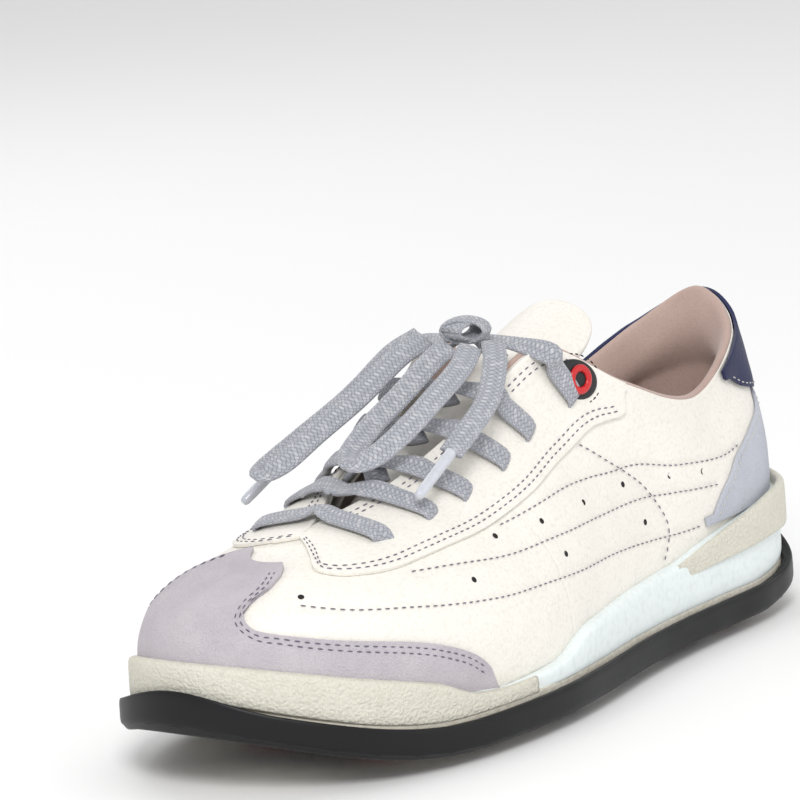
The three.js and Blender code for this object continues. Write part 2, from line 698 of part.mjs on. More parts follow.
const fromPoints = (points) => points.map(([u, y, z]) => new THREE.Vector3(toX(u), y, z));
const LOOP_MEDIAL = [[137, 9, 117], [124, 11, 113], [107, 15, 103], [90, 20, 94], [78, 24, 87],
  [74, 30, 83.5], [82, 34, 84], [98, 31, 91], [114, 25, 100], [128, 18.5, 110.5], [138, 14, 116]];
const LOOP_MIDDLE = [[133, -12, 116], [122, -15, 111], [106, -16, 104.5], [92, -15, 97.5], [81, -11, 91],
  [77, -4.5, 88.5], [83, 1, 90], [97, 2.5, 96.5], [112, 1, 104], [124, -1.5, 111.8], [133, -3, 116]];
const END_MEDIAL = [[145, 17, 116.5], [137, 23, 111.5], [125, 31, 99.5], [112, 37, 91], [101, 41, 83]];
const END_LATERAL = [[140, -16, 116.5], [132, -22, 111.5], [121, -26.5, 102.5], [108, -28, 95.5], [97, -28, 89.5]];
const KNOT = [143, -3, 119.6];

addPiece('lace_bar', bottomBar(), COLOURS.lace, 0.9);
LACE_ROWS.forEach((r, k) => addPiece(`lace_crossing_${k + 1}`, crossing(r), COLOURS.lace, 0.9));
addPiece('lace_knot', new THREE.SphereGeometry(1, 12, 8).scale(8.5, 8.5, 5)
  .translate(...fromPoints([KNOT])[0].toArray()), COLOURS.lace, 0.9);
[['lace_loop_medial', LOOP_MEDIAL], ['lace_loop_middle', LOOP_MIDDLE],
  ['lace_end_medial', END_MEDIAL], ['lace_end_lateral', END_LATERAL]].forEach(([name, points]) => {
  addPiece(name, laceAlong(fromPoints(points), points.map(() => UP)), COLOURS.lace, 0.9);
});
[['aglet_medial', END_MEDIAL], ['aglet_lateral', END_LATERAL]].forEach(([name, points]) => {
  const [before, end] = fromPoints(points.slice(-2));
  const along = end.clone().sub(before).normalize();
  const turn = new THREE.Quaternion().setFromUnitVectors(new THREE.Vector3(0, 1, 0), along);
  const place = end.clone().addScaledVector(along, 11.4);
  addPiece(name, new THREE.CylinderGeometry(1.7, 1.9, 22, 10).applyQuaternion(turn)
    .translate(place.x, place.y, place.z), COLOURS.textile, 0.4);
});

// ---------------------------------------------------------------- stud harness
const STUDS = [[60, -23], [98, -27], [58, 16], [95, 19], [236, -25], [231, 17]];
const WEB_CENTRE = [82, 0];
const STRAPS = [
  { width: 6, route: [[36, -22], [22, -33], [14, -34]] },
  { width: 6, route: [[46, -31], [36, -41], [31, -46]] },
  { width: 6, route: [[32, 8], [18, 18], [4, 29]] },
  { width: 6, route: [[40, 22], [26, 32], [17, 41]] },
  { width: 9, route: [[100, -33], [112, -42], [124, -54]] },
  { width: 11, route: [[128, -6], [146, -22], [172, -43]] },
  { width: 11, route: [[130, 10], [146, 24], [168, 40]] },
  { width: 8, route: [[102, 34], [106, 44], [110, 53]] },
  { width: 19, route: [[236, -27], [233, -4], [231, 19]] },
  { width: 12, route: [[237, -25], [237, -34], [240, -41]] },
  { width: 12, route: [[232, 18], [236, 30], [243, 40]] },
  { width: 8, route: [[229, -29], [212, -36], [188, -43]] },
  { width: 8, route: [[226, 22], [212, 30], [198, 39]] },
];
const WEB_THICKNESS = WEB_TOP - WEB_BOTTOM;

// Flat plate of the web from a shape in the plane of the sole.
function plate(shape, curveSegments = 8) {
  return new THREE.ExtrudeGeometry(shape, { depth: WEB_THICKNESS, bevelEnabled: false, curveSegments })
    .translate(0, 0, WEB_BOTTOM);
}

function oval(u, y, a, b) {
  return new THREE.Shape().absellipse(toX(u), y, a, b, 0, 2 * Math.PI);
}

function ovalRing(a, b, band) {
  const ring = oval(...WEB_CENTRE, a, b);
  ring.holes.push(oval(...WEB_CENTRE, a - band, b - band));
  return plate(ring, 9);
}

function strap({ width, route }) {
  const line = new THREE.SplineCurve(route.map(([u, y]) => new THREE.Vector2(toX(u), y)));
  const steps = 5;
  const edge = (side) => Array.from({ length: steps + 1 }, (_, k) => {
    const along = line.getTangent(k / steps);
    return line.getPoint(k / steps).add(new THREE.Vector2(-along.y, along.x).multiplyScalar(side * width));
  });
  return plate(new THREE.Shape([...edge(-0.5), ...edge(0.5).reverse()]));
}

const rimTop = both(profile([[0, 8], [0.7, 5], [11, 5], [11.6, 9.6], [12, 10]]));
function harness() {
  const rim = loft([
    loopAt(RIM_INNER - 2.4, () => WEB_BOTTOM + 0.2),
    loopAt(RIM_OUTER, () => WEB_BOTTOM + 0.2),
    loopAt(RIM_OUTER, (u, r) => rimTop(r)),
    loopAt(RIM_INNER, (u, r) => rimTop(r)),
    loopAt(RIM_INNER, () => WEB_TOP - 0.2),
    loopAt(RIM_INNER - 2.4, () => WEB_TOP - 0.2),
  ], AROUND, true);
  const solids = [
    rim, ovalRing(52, 36, 6), ovalRing(41, 28, 4.5), plate(oval(...WEB_CENTRE, 28, 19)),
    ...STRAPS.map(strap), ...STUDS.map(([u, y]) => plate(oval(u, y, 10, 10), 6)),
  ].map(toManifold);
  const cuts = [
    plate(oval(64, -1, 10, 9), 6), plate(oval(93, 0, 11, 7), 6), plate(oval(233.5, -4, 5, 3.5), 5),
    ...STUDS.map(([u, y]) => plate(oval(u, y, 4.3, 4.3), 5)),
  ].map((cut) => toManifold(cut.scale(1, 1, 2).translate(0, 0, 1)));
  const whole = solids.reduce((sum, piece) => sum.add(piece));
  return bendWithSole(fromManifold(cuts.reduce((rest, cut) => rest.subtract(cut), whole)));
}

addPiece('harness', harness(), COLOURS.harness, 0.45);

STUDS.forEach(([u, y], k) => {
  const flange = WEB_BOTTOM - 0.3;
  const body = turned([[3.0, WEB_TOP], [4, WEB_TOP], [4, flange], [STUD_RADIUS, flange],
    [STUD_RADIUS, flange - 2], [STUD_RADIUS - 1, flange - 2.9], [3.0, flange - 2.9], [3.0, WEB_TOP]]
    .reverse(), 12);
  const pin = new THREE.CylinderGeometry(PIN_RADIUS, PIN_RADIUS, STUD_HEIGHT + WEB_TOP, 12)
    .rotateX(Math.PI / 2).translate(0, 0, (WEB_TOP - STUD_HEIGHT) / 2);
  [['body', body, COLOURS.stud], ['pin', pin, COLOURS.black]].forEach(([part, geometry, colour]) => {
    addPiece(`stud_${k + 1}_${part}`, geometry.translate(toX(u), y, STUD_HEIGHT), colour, 0.35);
  });
});

// Puts the origin on the ground under the middle of the shoe, measured without the free lace.
const bounds = new THREE.Box3();
shoe.children.filter((mesh) => !/^(lace_loop|lace_end|aglet)/.test(mesh.name)).forEach((mesh) => {
  bounds.expandByObject(mesh, true);
});
const middle = bounds.getCenter(new THREE.Vector3());
shoe.position.set(-middle.x, -middle.y, -bounds.min.z);
shoe.updateMatrixWorld(true);

export default shoe;
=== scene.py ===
"""A laced golf shoe with a pull-on rubber stud harness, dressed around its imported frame.

The upper is one smooth surface laid over stations round the foot. A ring coordinate r runs from the
toe (0) past the lateral side to the heel (12) and back past the medial side (24). A height
coordinate t runs from the edge of the sole (0) to the throat or collar line (1). Shapes are worked
out in millimetres along the shoe from its toe, and every finished mesh is in metres.
"""

import logging
import math
from collections.abc import Callable, Sequence
from dataclasses import dataclass, field
from enum import Enum

import bmesh
import bpy
import numpy as np
from mathutils import Matrix, Vector


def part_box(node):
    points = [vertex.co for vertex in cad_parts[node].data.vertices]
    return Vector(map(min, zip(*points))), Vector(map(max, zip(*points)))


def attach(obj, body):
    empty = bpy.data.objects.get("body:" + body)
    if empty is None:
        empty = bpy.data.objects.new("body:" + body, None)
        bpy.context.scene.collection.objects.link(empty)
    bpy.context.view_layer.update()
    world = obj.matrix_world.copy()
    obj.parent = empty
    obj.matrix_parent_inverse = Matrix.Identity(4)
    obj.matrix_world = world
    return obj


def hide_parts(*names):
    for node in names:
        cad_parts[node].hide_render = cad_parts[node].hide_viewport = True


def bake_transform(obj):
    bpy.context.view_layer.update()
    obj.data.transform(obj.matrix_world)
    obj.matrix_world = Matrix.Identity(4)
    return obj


logging.basicConfig(level=logging.INFO, format="%(message)s")
log = logging.getLogger("shoe")

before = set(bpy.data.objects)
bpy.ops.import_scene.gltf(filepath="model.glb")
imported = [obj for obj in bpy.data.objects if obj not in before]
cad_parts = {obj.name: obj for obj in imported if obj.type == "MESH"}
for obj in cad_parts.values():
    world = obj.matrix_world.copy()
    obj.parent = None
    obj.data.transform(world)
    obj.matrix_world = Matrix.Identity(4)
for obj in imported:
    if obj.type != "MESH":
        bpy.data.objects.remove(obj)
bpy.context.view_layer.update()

MM = 0.001
WELD = 0.02
FOOT_LENGTH = 292.0
HEEL = 12
RING = 24
SHOE = "shoe"
HARNESS = "harness_base"

Curve = Callable[[np.ndarray], np.ndarray]
Warp = Callable[[np.ndarray, np.ndarray], np.ndarray]
Colour = tuple[float, float, float]


# ---------------------------------------------------------------- the foot's shape
def profile(pairs: Sequence[tuple[float, float]]) -> Curve:
    """Smooth curve through (position, value) pairs that rises and falls only where they do.

    Args:
        pairs: positions in rising order, each with its value.
    Returns:
        A function of an array of positions.
    """
    xs = np.array([x for x, _ in pairs], float)
    ys = np.array([y for _, y in pairs], float)
    rise = np.diff(ys) / np.diff(xs)
    slope = np.zeros(len(xs))
    same = rise[:-1] * rise[1:] > 0
    slope[1:-1][same] = 2 * rise[:-1][same] * rise[1:][same] / (rise[:-1] + rise[1:])[same]

    def at(x: np.ndarray) -> np.ndarray:
        x = np.clip(np.asarray(x, float), xs[0], xs[-1])
        k = np.clip(np.searchsorted(xs, x, side="right") - 1, 0, len(xs) - 2)
        step = xs[k + 1] - xs[k]
        f = (x - xs[k]) / step
        bend = f * (1 - f) * step * (slope[k] * (1 - f) - slope[k + 1] * f)
        return ys[k] + (ys[k + 1] - ys[k]) * f * f * (3 - 2 * f) + bend

    return at


def both(curve: Curve) -> Curve:
    """The same curve on the lateral and the medial side, as a function of r."""
    return lambda r: curve(np.minimum(np.mod(r, RING), RING - np.mod(r, RING)))


def unit(v: np.ndarray) -> np.ndarray:
    """Vectors along the last axis at length one."""
    return v / np.maximum(np.linalg.norm(v, axis=-1, keepdims=True), 1e-9)


def catmull(values: np.ndarray, place: np.ndarray, closed: bool) -> np.ndarray:
    """Smooth curve through evenly numbered values.

    Args:
        values: one row per value.
        place: where to read the curve, in values' numbering.
        closed: whether the last value is followed by the first.
    Returns:
        One row per place.
    """
    n = len(values)
    start = np.floor(place).astype(int)
    if not closed:
        start = np.clip(start, 0, n - 2)
    f = (place - start)[..., None]

    def value(step: int) -> np.ndarray:
        k = start + step
        if closed:
            return values[np.mod(k, n)]
        low, high = 2 * values[0] - values[1], 2 * values[-1] - values[-2]
        return np.concatenate([[low], values, [high]])[k + 1]

    a, b, c, d = (value(s) for s in (-1, 0, 1, 2))
    return 0.5 * (2 * b + (c - a) * f + (2 * a - 5 * b + 4 * c - d) * f * f
                  + (3 * b - a - 3 * c + d) * f ** 3)


@dataclass
class FootShape:
    """The smooth surface of the upper and the curves of the sole's walls, in millimetres.

    Each station holds lateral u, lateral width, medial u, medial width and height at the foot; u,
    half width and height at the top; and two handles (out, up) at the foot and (in, down) at the top.
    """

    stations: tuple[tuple[float, ...], ...] = (
        (0, 5, 0, 5, 29, 46, 0, 66, 4, 34, 30, 4),
        (7, 17, 6, 26, 28.5, 47, 0, 66.4, 4, 34, 30, 4),
        (26, 36.5, 24, 41, 26, 51, 0, 68, 4, 34, 30, 4),
        (53, 47, 49, 48, 24.5, 59, 0, 70.5, 3, 34, 30, 3),
        (82, 51.5, 77, 50.5, 24.5, 73, 4.5, 74.5, 2, 32, 28, 3),
        (111, 51.5, 106, 49, 26, 88, 10.5, 80, 0, 30, 24, 7),
        (140, 47.5, 135, 43, 28.5, 112, 14.5, 90, -1, 32, 22, 12),
        (169, 42, 164, 37, 31, 136, 17.5, 103, -2, 34, 15, 18),
        (198, 38.5, 194, 34.5, 33, 160, 22.5, 111.5, -2, 32, 10, 22),
        (227, 37, 224, 35, 34.5, 193, 31, 94, 0, 26, 4, 20),
        (255, 35.5, 252, 35, 36, 234, 31, 82, 2, 24, 4, 18),
        (279, 27.5, 277, 28, 37, 275, 21, 97, 3, 28, 4, 22),
        (292, -2, 292, 2, 37.5, 288, 0, 109, 4, 30, 2, 26),
    )
    toe_lateral_y: float = 5.0
    stud_height: float = 8.8
    toe_spring: float = 14.0
    spring_start: float = 62.0
    heel_rise: float = 8.0
    rocker_start: float = 252.0
    anchor_u: float = 60.0
    anchor_y: float = -23.0
    shift: np.ndarray = field(init=False)
    foot_ring: np.ndarray = field(init=False)
    top_ring: np.ndarray = field(init=False)
    handle_ring: np.ndarray = field(init=False)

    def __post_init__(self) -> None:
        """Lays the stations round the ring and takes the shoe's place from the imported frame."""
        foot, top, handles = [], [], []
        for k in range(RING):
            lateral = k <= HEEL
            s = self.stations[k if lateral else RING - k]
            foot_y = -s[1] if lateral else s[3]
            if k == 0:
                foot_y = self.toe_lateral_y
            foot.append((s[0] if lateral else s[2], foot_y, s[4]))
            top.append((s[5], (-s[6] if lateral else s[6]), s[7]))
            handles.append(s[8:12])
        self.foot_ring = np.array(foot, float)
        self.top_ring = np.array(top, float)
        self.handle_ring = np.array(handles, float)
        low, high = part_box("stud_1_pin")
        self.shift = np.array([(low[0] + high[0]) / 2 / MM - self.anchor_u,
                               (low[1] + high[1]) / 2 / MM - self.anchor_y, 0.0])

    def foot(self, r: np.ndarray) -> np.ndarray:
        """Points on the edge of the upper, where it meets the sole."""
        return catmull(self.foot_ring, np.asarray(r, float), True)

    def top(self, r: np.ndarray) -> np.ndarray:
        """Points on the ridge of the toe, the edge of the throat or the collar line."""
        p = catmull(self.top_ring, np.asarray(r, float), True)
        lateral = np.mod(r, RING) < HEEL
        p[..., 1] = np.where(lateral, np.minimum(p[..., 1], 0), np.maximum(p[..., 1], 0))
        return p

    def outward(self, r: np.ndarray) -> np.ndarray:
        """Horizontal directions square to the edge of the foot, away from it."""
        r = np.asarray(r, float)
        d = self.foot(r + 0.02) - self.foot(r - 0.02)
        return unit(np.stack([d[..., 1], -d[..., 0], 0 * d[..., 0]], -1))

    def upper(self, r: np.ndarray, t: np.ndarray) -> np.ndarray:
        """Points of the upper's surface at r and t."""
        r, t = np.broadcast_arrays(np.asarray(r, float), np.asarray(t, float))
        foot, top, out = self.foot(r), self.top(r), self.outward(r)
        h = catmull(self.handle_ring, r, True)
        low = foot + out * h[..., 0:1] + np.array([0, 0, 1.0]) * h[..., 1:2]
        flat = unit((foot - top) * np.array([1, 1, 0]))
        high = top + flat * h[..., 2:3] - np.array([0, 0, 1.0]) * h[..., 3:4]
        t = t[..., None]
        return ((1 - t) ** 3 * foot + 3 * (1 - t) ** 2 * t * low
                + 3 * (1 - t) * t * t * high + t ** 3 * top)

    def normal(self, r: np.ndarray, t: np.ndarray) -> np.ndarray:
        """Outward normals of the upper's surface."""
        r, t = np.broadcast_arrays(np.asarray(r, float), np.asarray(t, float))
        step = 0.01
        t = np.clip(t, step, 0.96)
        along = self.upper(r + step, t) - self.upper(r - step, t)
        up = self.upper(r, t + step) - self.upper(r, t - step)
        return unit(np.cross(along, up))

    def raised(self, r: np.ndarray, t: np.ndarray, depth: np.ndarray | float) -> np.ndarray:
        """Points that stand off the upper's surface by depth."""
        d = np.broadcast_to(np.asarray(depth, float), np.broadcast(r, t).shape)
        return self.upper(r, t) + self.normal(r, t) * d[..., None]

    def sole_bottom(self, u: np.ndarray) -> np.ndarray:
        """Height of the lug faces over the ground at distance u from the toe."""
        toe = np.maximum(0, (self.spring_start - u) / self.spring_start)
        heel = np.maximum(0, (u - self.rocker_start) / (FOOT_LENGTH - self.rocker_start))
        return self.stud_height + self.toe_spring * toe ** 1.8 + self.heel_rise * heel ** 1.8

    def place(self, points: np.ndarray) -> np.ndarray:
        """Millimetre points along the shoe as metre points in the frame."""
        return (points + self.shift) * MM


SHAPE = FootShape()


# ---------------------------------------------------------------- mesh helpers
def mesh_object(name: str, bm: bmesh.types.BMesh) -> bpy.types.Object:
    """Turns a bmesh into a linked, smooth-shaded object at the origin.

    Args:
        name: the piece's name.
        bm: its mesh, which is freed.
    Returns:
        The new object.
    """
    mesh = bpy.data.meshes.new(name)
    for face in bm.faces:
        face.smooth = True
    bm.to_mesh(mesh)
    bm.free()
    obj = bpy.data.objects.new(name, mesh)
    bpy.context.scene.collection.objects.link(obj)
    return obj


def mapped_grid(columns: int, rows: int,
                surface: Callable[[np.ndarray, np.ndarray], np.ndarray]) -> bmesh.types.BMesh:
    """A grid whose points are laid on a surface.

    Args:
        columns: faces along the first direction.
        rows: faces along the second direction.
        surface: gives frame points in metres for arrays a and b from 0 to 1.
    Returns:
        The bmesh, with a UV map of metres along both directions.
    """
    bm = bmesh.new()
    bmesh.ops.create_grid(bm, x_segments=columns, y_segments=rows, size=1.0)
    bm.verts.ensure_lookup_table()
    flat = np.array([(v.co.x, v.co.y) for v in bm.verts]) / 2 + 0.5
    points = surface(flat[:, 0], flat[:, 1])
    lattice = surface(*np.meshgrid(np.linspace(0, 1, columns + 1), np.linspace(0, 1, rows + 1),
                                   indexing="ij"))
    span_a = np.linalg.norm(np.diff(lattice, axis=0), axis=-1).sum(0).mean()
    span_b = np.linalg.norm(np.diff(lattice, axis=1), axis=-1).sum(1).mean()
    layer = bm.loops.layers.uv.new("metres")
    for face in bm.faces:
        for loop in face.loops:
            a, b = flat[loop.vert.index]
            loop[layer].uv = (a * span_a, b * span_b)
    for vert, point in zip(bm.verts, points):
        vert.co = point
    bmesh.ops.remove_doubles(bm, verts=bm.verts, dist=WELD * MM)
    return bm


def thicken(obj: bpy.types.Object, thickness: float, bevel: float) -> None:
    """Gives a sheet its thickness, inwards, and rounds its edge.

    Args:
        obj: the sheet.
        thickness: in millimetres, below zero to thicken it outwards.
        bevel: width of the rounded edge in millimetres, or 0 for a square one.
    """
    solid = obj.modifiers.new("thickness", "SOLIDIFY")
    solid.thickness = thickness * MM
    solid.offset = -1.0
    solid.use_quality_normals = True
    if bevel:
        edge = obj.modifiers.new("edge", "BEVEL")
        edge.width = bevel * MM
        edge.segments = 2
        edge.limit_method = "ANGLE"
        edge.angle_limit = math.radians(50)
        edge.use_clamp_overlap = True


def turned(section: Sequence[tuple[float, float]], steps: int) -> bmesh.types.BMesh:
    """A turned form about the Z axis.

    Args:
        section: (radius, height) points in millimetres.
        steps: faces round it.
    Returns:
        The bmesh, in millimetres.
    """
    bm = bmesh.new()
    verts = [bm.verts.new((x, 0, z)) for x, z in section]
    edges = [bm.edges.new(pair) for pair in zip(verts, verts[1:])]
    bmesh.ops.spin(bm, geom=verts + edges, cent=(0, 0, 0), axis=(0, 0, 1), angle=2 * math.pi,
                   steps=steps, use_merge=True)
    bmesh.ops.remove_doubles(bm, verts=bm.verts, dist=1e-4)
    bmesh.ops.recalc_face_normals(bm, faces=bm.faces)
    return bm


def finish_piece(obj: bpy.types.Object, body: str | None, material: bpy.types.Material,
                 nodes: Sequence[str] = ()) -> bpy.types.Object:
    """Dresses a piece, puts it on its body and hides the frame nodes that it stands for."""
    obj.data.materials.clear()
    obj.data.materials.append(material)
    if body:
        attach(obj, body)
    if nodes:
        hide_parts(*nodes)
    log.info("%s: %d faces", obj.name, len(obj.data.polygons))
    return obj


def groove(points: np.ndarray, lines: Sequence[np.ndarray], depth: float, width: float) -> np.ndarray:
    """How far seam lines draw a surface in at given points.

    Args:
        points: millimetre points.
        lines: millimetre polylines of the seams.
        depth: at the line, in millimetres.
        width: of the hollow, in millimetres.
    Returns:
        A depth for each point.
    """
    shape = points.shape[:-1]
    flat = points.reshape(-1, 3)
    total = np.zeros(len(flat))
    for line in lines:
        near = np.full(len(flat), 1e9)
        for k in range(0, len(line), 64):
            gap = np.linalg.norm(flat[:, None] - line[None, k:k + 64], axis=-1).min(1)
            near = np.minimum(near, gap)
        total = np.maximum(total, depth * np.exp(-(near / width) ** 2))
    return total.reshape(shape)


def resample(points: np.ndarray, pitch: float) -> np.ndarray:
    """Points at an even pitch along a polyline."""
    steps = np.r_[0, np.cumsum(np.linalg.norm(np.diff(points, axis=0), axis=-1))]
    count = max(2, int(round(steps[-1] / pitch)) + 1)
    at = np.linspace(0, steps[-1], count)
    return np.stack([np.interp(at, steps, points[:, k]) for k in range(3)], -1)


# ---------------------------------------------------------------- finishes
class Nodes:
    """Short way to lay nodes in one tree."""

    def __init__(self, tree: bpy.types.NodeTree) -> None:
        """Takes the tree."""
        self.tree = tree

    def add(self, kind: str, inputs: dict[str | int, object] | None = None,
            **settings: object) -> bpy.types.Node:
        """Adds a node.

        Args:
            kind: its type name without the ShaderNode prefix, or the whole name.
            inputs: values or sockets for its inputs.
            settings: its properties.
        Returns:
            The node.
        """
        full = kind if kind.startswith(("NodeGroup", "ShaderNode")) else "ShaderNode" + kind
        node = self.tree.nodes.new(full)
        for key, value in settings.items():
            setattr(node, key, value)
        for key, value in (inputs or {}).items():
            socket = node.inputs[key]
            if isinstance(value, bpy.types.NodeSocket):
                self.tree.links.new(value, socket)
            else:
                socket.default_value = value
        return node

    def math(self, operation: str, *values: object, clamp: bool = False) -> bpy.types.NodeSocket:
        """A Math node's result."""
        node = self.add("Math", dict(enumerate(values)), operation=operation, use_clamp=clamp)
        return node.outputs[0]

    def mix(self, factor: object, a: object, b: object) -> bpy.types.NodeSocket:
        """A colour Mix node's result."""
        node = self.add("Mix", data_type="RGBA", blend_type="MIX")
        for index, value in ((0, factor), (6, a), (7, b)):
            if isinstance(value, bpy.types.NodeSocket):
                self.tree.links.new(value, node.inputs[index])
            else:
                node.inputs[index].default_value = value
        return node.outputs[2]

    def ramp(self, value: bpy.types.NodeSocket, low: float, high: float) -> bpy.types.NodeSocket:
        """A value stretched so that low gives 0 and high gives 1."""
        return self.add("MapRange", {0: value, 1: low, 2: high, 3: 0.0, 4: 1.0}).outputs[0]


def linear(colour: Colour) -> tuple[float, float, float, float]:
    """A 0-255 screen colour as a linear one."""
    def one(c: float) -> float:
        c = c / 255
        return c / 12.92 if c <= 0.04045 else ((c + 0.055) / 1.055) ** 2.4
    return (one(colour[0]), one(colour[1]), one(colour[2]), 1.0)


def group_tree(name: str, inputs: Sequence[tuple[str, str, object]],
               outputs: Sequence[tuple[str, str]]) -> tuple[bpy.types.NodeTree, Nodes, dict, dict]:
    """Starts a shader node group.

    Args:
        name: its name.
        inputs: (name, socket type, default) of each input.
        outputs: (name, socket type) of each output.
    Returns:
        The tree, its node helper, its input sockets and its output sockets by name.
    """
    tree = bpy.data.node_groups.new(name, "ShaderNodeTree")
    for label, kind, default in inputs:
        socket = tree.interface.new_socket(label, in_out="INPUT", socket_type="NodeSocket" + kind)
        if default is not None:
            socket.default_value = default
    for label, kind in outputs:
        tree.interface.new_socket(label, in_out="OUTPUT", socket_type="NodeSocket" + kind)
    nodes = Nodes(tree)
    source = nodes.add("NodeGroupInput")
    sink = nodes.add("NodeGroupOutput")
    return (tree, nodes, {s.name: s for s in source.outputs if s.name},
            {s.name: s for s in sink.inputs if s.name})


def pebble_group() -> bpy.types.NodeTree:
    """Grain of leather or pebbled rubber: rounded cells of uneven size with fine pores, and a mask of the
    hollows between the cells that is used for painted shade.
    """
    tree, n, given, out = group_tree(
        "Grain", [("Vector", "Vector", None), ("Cell", "Float", 900.0), ("Pores", "Float", 0.3),
                  ("Folds", "Float", 0.4)],
        [("Height", "Float"), ("HollowShade", "Float")])
    bend = n.add("TexNoise", {"Vector": given["Vector"], "Scale": 160.0, "Detail": 2.0})
    warped = n.add("VectorMath", {0: bend.outputs["Color"], 1: (0.0022, 0.0022, 0.0022)},
                   operation="MULTIPLY")
    moved = n.add("VectorMath", {0: given["Vector"], 1: warped.outputs[0]}, operation="ADD")
    cells = n.add("TexVoronoi", {"Vector": moved.outputs[0], "Scale": given["Cell"],
                                 "Smoothness": 0.6}, feature="SMOOTH_F1")
    pores = n.add("TexNoise", {"Vector": given["Vector"], "Scale": 5200.0, "Detail": 3.0})
    folds = n.add("TexNoise", {"Vector": given["Vector"], "Scale": 95.0, "Detail": 4.0})
    dome = n.math("SUBTRACT", 1.0, cells.outputs["Distance"])
    height = n.math("ADD", dome, n.math("MULTIPLY", pores.outputs[0], given["Pores"]))
    height = n.math("ADD", height, n.math("MULTIPLY", folds.outputs[0], given["Folds"]))
    n.tree.links.new(height, out["Height"])
    n.tree.links.new(n.ramp(cells.outputs["Distance"], 0.45, 0.85), out["HollowShade"])
    return tree


def soil_group() -> bpy.types.NodeTree:
    """Soft uneven tone and a little dust low down, as masks."""
    tree, n, given, out = group_tree(
        "Soil", [("Vector", "Vector", None), ("Patch", "Float", 28.0), ("Low", "Float", 0.012),
                 ("High", "Float", 0.05)],
        [("Tone", "Float"), ("Dust", "Float")])
    tone = n.add("TexNoise", {"Vector": given["Vector"], "Scale": given["Patch"], "Detail": 5.0,
                              "Roughness": 0.55})
    split = n.add("SeparateXYZ", {0: given["Vector"]})
    fall = n.add("MapRange", {0: split.outputs[2], 1: given["Low"], 2: given["High"], 3: 1.0, 4: 0.0})
    speck = n.add("TexNoise", {"Vector": given["Vector"], "Scale": 420.0, "Detail": 4.0})
    dust = n.math("MULTIPLY", fall.outputs[0], n.ramp(speck.outputs[0], 0.4, 0.75), clamp=True)
    n.tree.links.new(n.ramp(tone.outputs[0], 0.3, 0.7), out["Tone"])
    n.tree.links.new(dust, out["Dust"])
    return tree


def wear_group() -> bpy.types.NodeTree:
    """Mask of worn convex edges, broken up by noise."""
    tree, n, given, out = group_tree(
        "EdgeWear", [("Vector", "Vector", None), ("Width", "Float", 0.04)], [("Mask", "Float")])
    geometry = n.add("NewGeometry")
    low = n.math("ADD", 0.5, given["Width"])
    edge = n.add("MapRange", {0: geometry.outputs["Pointiness"], 1: low, 2: 0.75, 3: 0.0, 4: 1.0})
    noise = n.add("TexNoise", {"Vector": given["Vector"], "Scale": 300.0, "Detail": 4.0})
    mask = n.math("MULTIPLY", edge.outputs[0], n.ramp(noise.outputs[0], 0.35, 0.65), clamp=True)
    n.tree.links.new(mask, out["Mask"])
    return tree


def braid_group() -> bpy.types.NodeTree:
    """Flat braid: strands that cross on both diagonals over and under each other."""
    tree, n, given, out = group_tree(
        "Braid", [("UV", "Vector", None), ("Pitch", "Float", 0.0019)],
        [("Height", "Float"), ("Strand", "Float"), ("Fleck", "Float")])
    split = n.add("SeparateXYZ", {0: given["UV"]})
    u = n.math("DIVIDE", split.outputs[0], given["Pitch"])
    v = n.math("DIVIDE", split.outputs[1], given["Pitch"])
    a, b = n.math("ADD", u, v), n.math("SUBTRACT", u, v)
    wave_a = n.math("ABSOLUTE", n.math("SINE", n.math("MULTIPLY", a, math.pi)))
    wave_b = n.math("ABSOLUTE", n.math("SINE", n.math("MULTIPLY", b, math.pi)))
    over = n.math("MODULO", n.math("ADD", n.math("FLOOR", a), n.math("FLOOR", b)), 2.0)
    over = n.math("ABSOLUTE", over)
    under = n.math("SUBTRACT", 1.0, over)
    height = n.math("ADD", n.math("MULTIPLY", wave_a, over), n.math("MULTIPLY", wave_b, under))
    cell = n.add("CombineXYZ", {0: n.math("FLOOR", a), 1: n.math("FLOOR", b), 2: 0.0})
    random = n.add("TexWhiteNoise", {"Vector": cell.outputs[0]}, noise_dimensions="3D")
    n.tree.links.new(n.math("POWER", height, 0.6), out["Height"])
    n.tree.links.new(over, out["Strand"])
    n.tree.links.new(random.outputs[0], out["Fleck"])
    return tree


class Effects:
    """The shared shader groups, each built once."""

    def __init__(self) -> None:
        """Builds the groups."""
        self.grain = pebble_group()
        self.soil = soil_group()
        self.wear = wear_group()
        self.braid = braid_group()


EFFECTS = Effects()


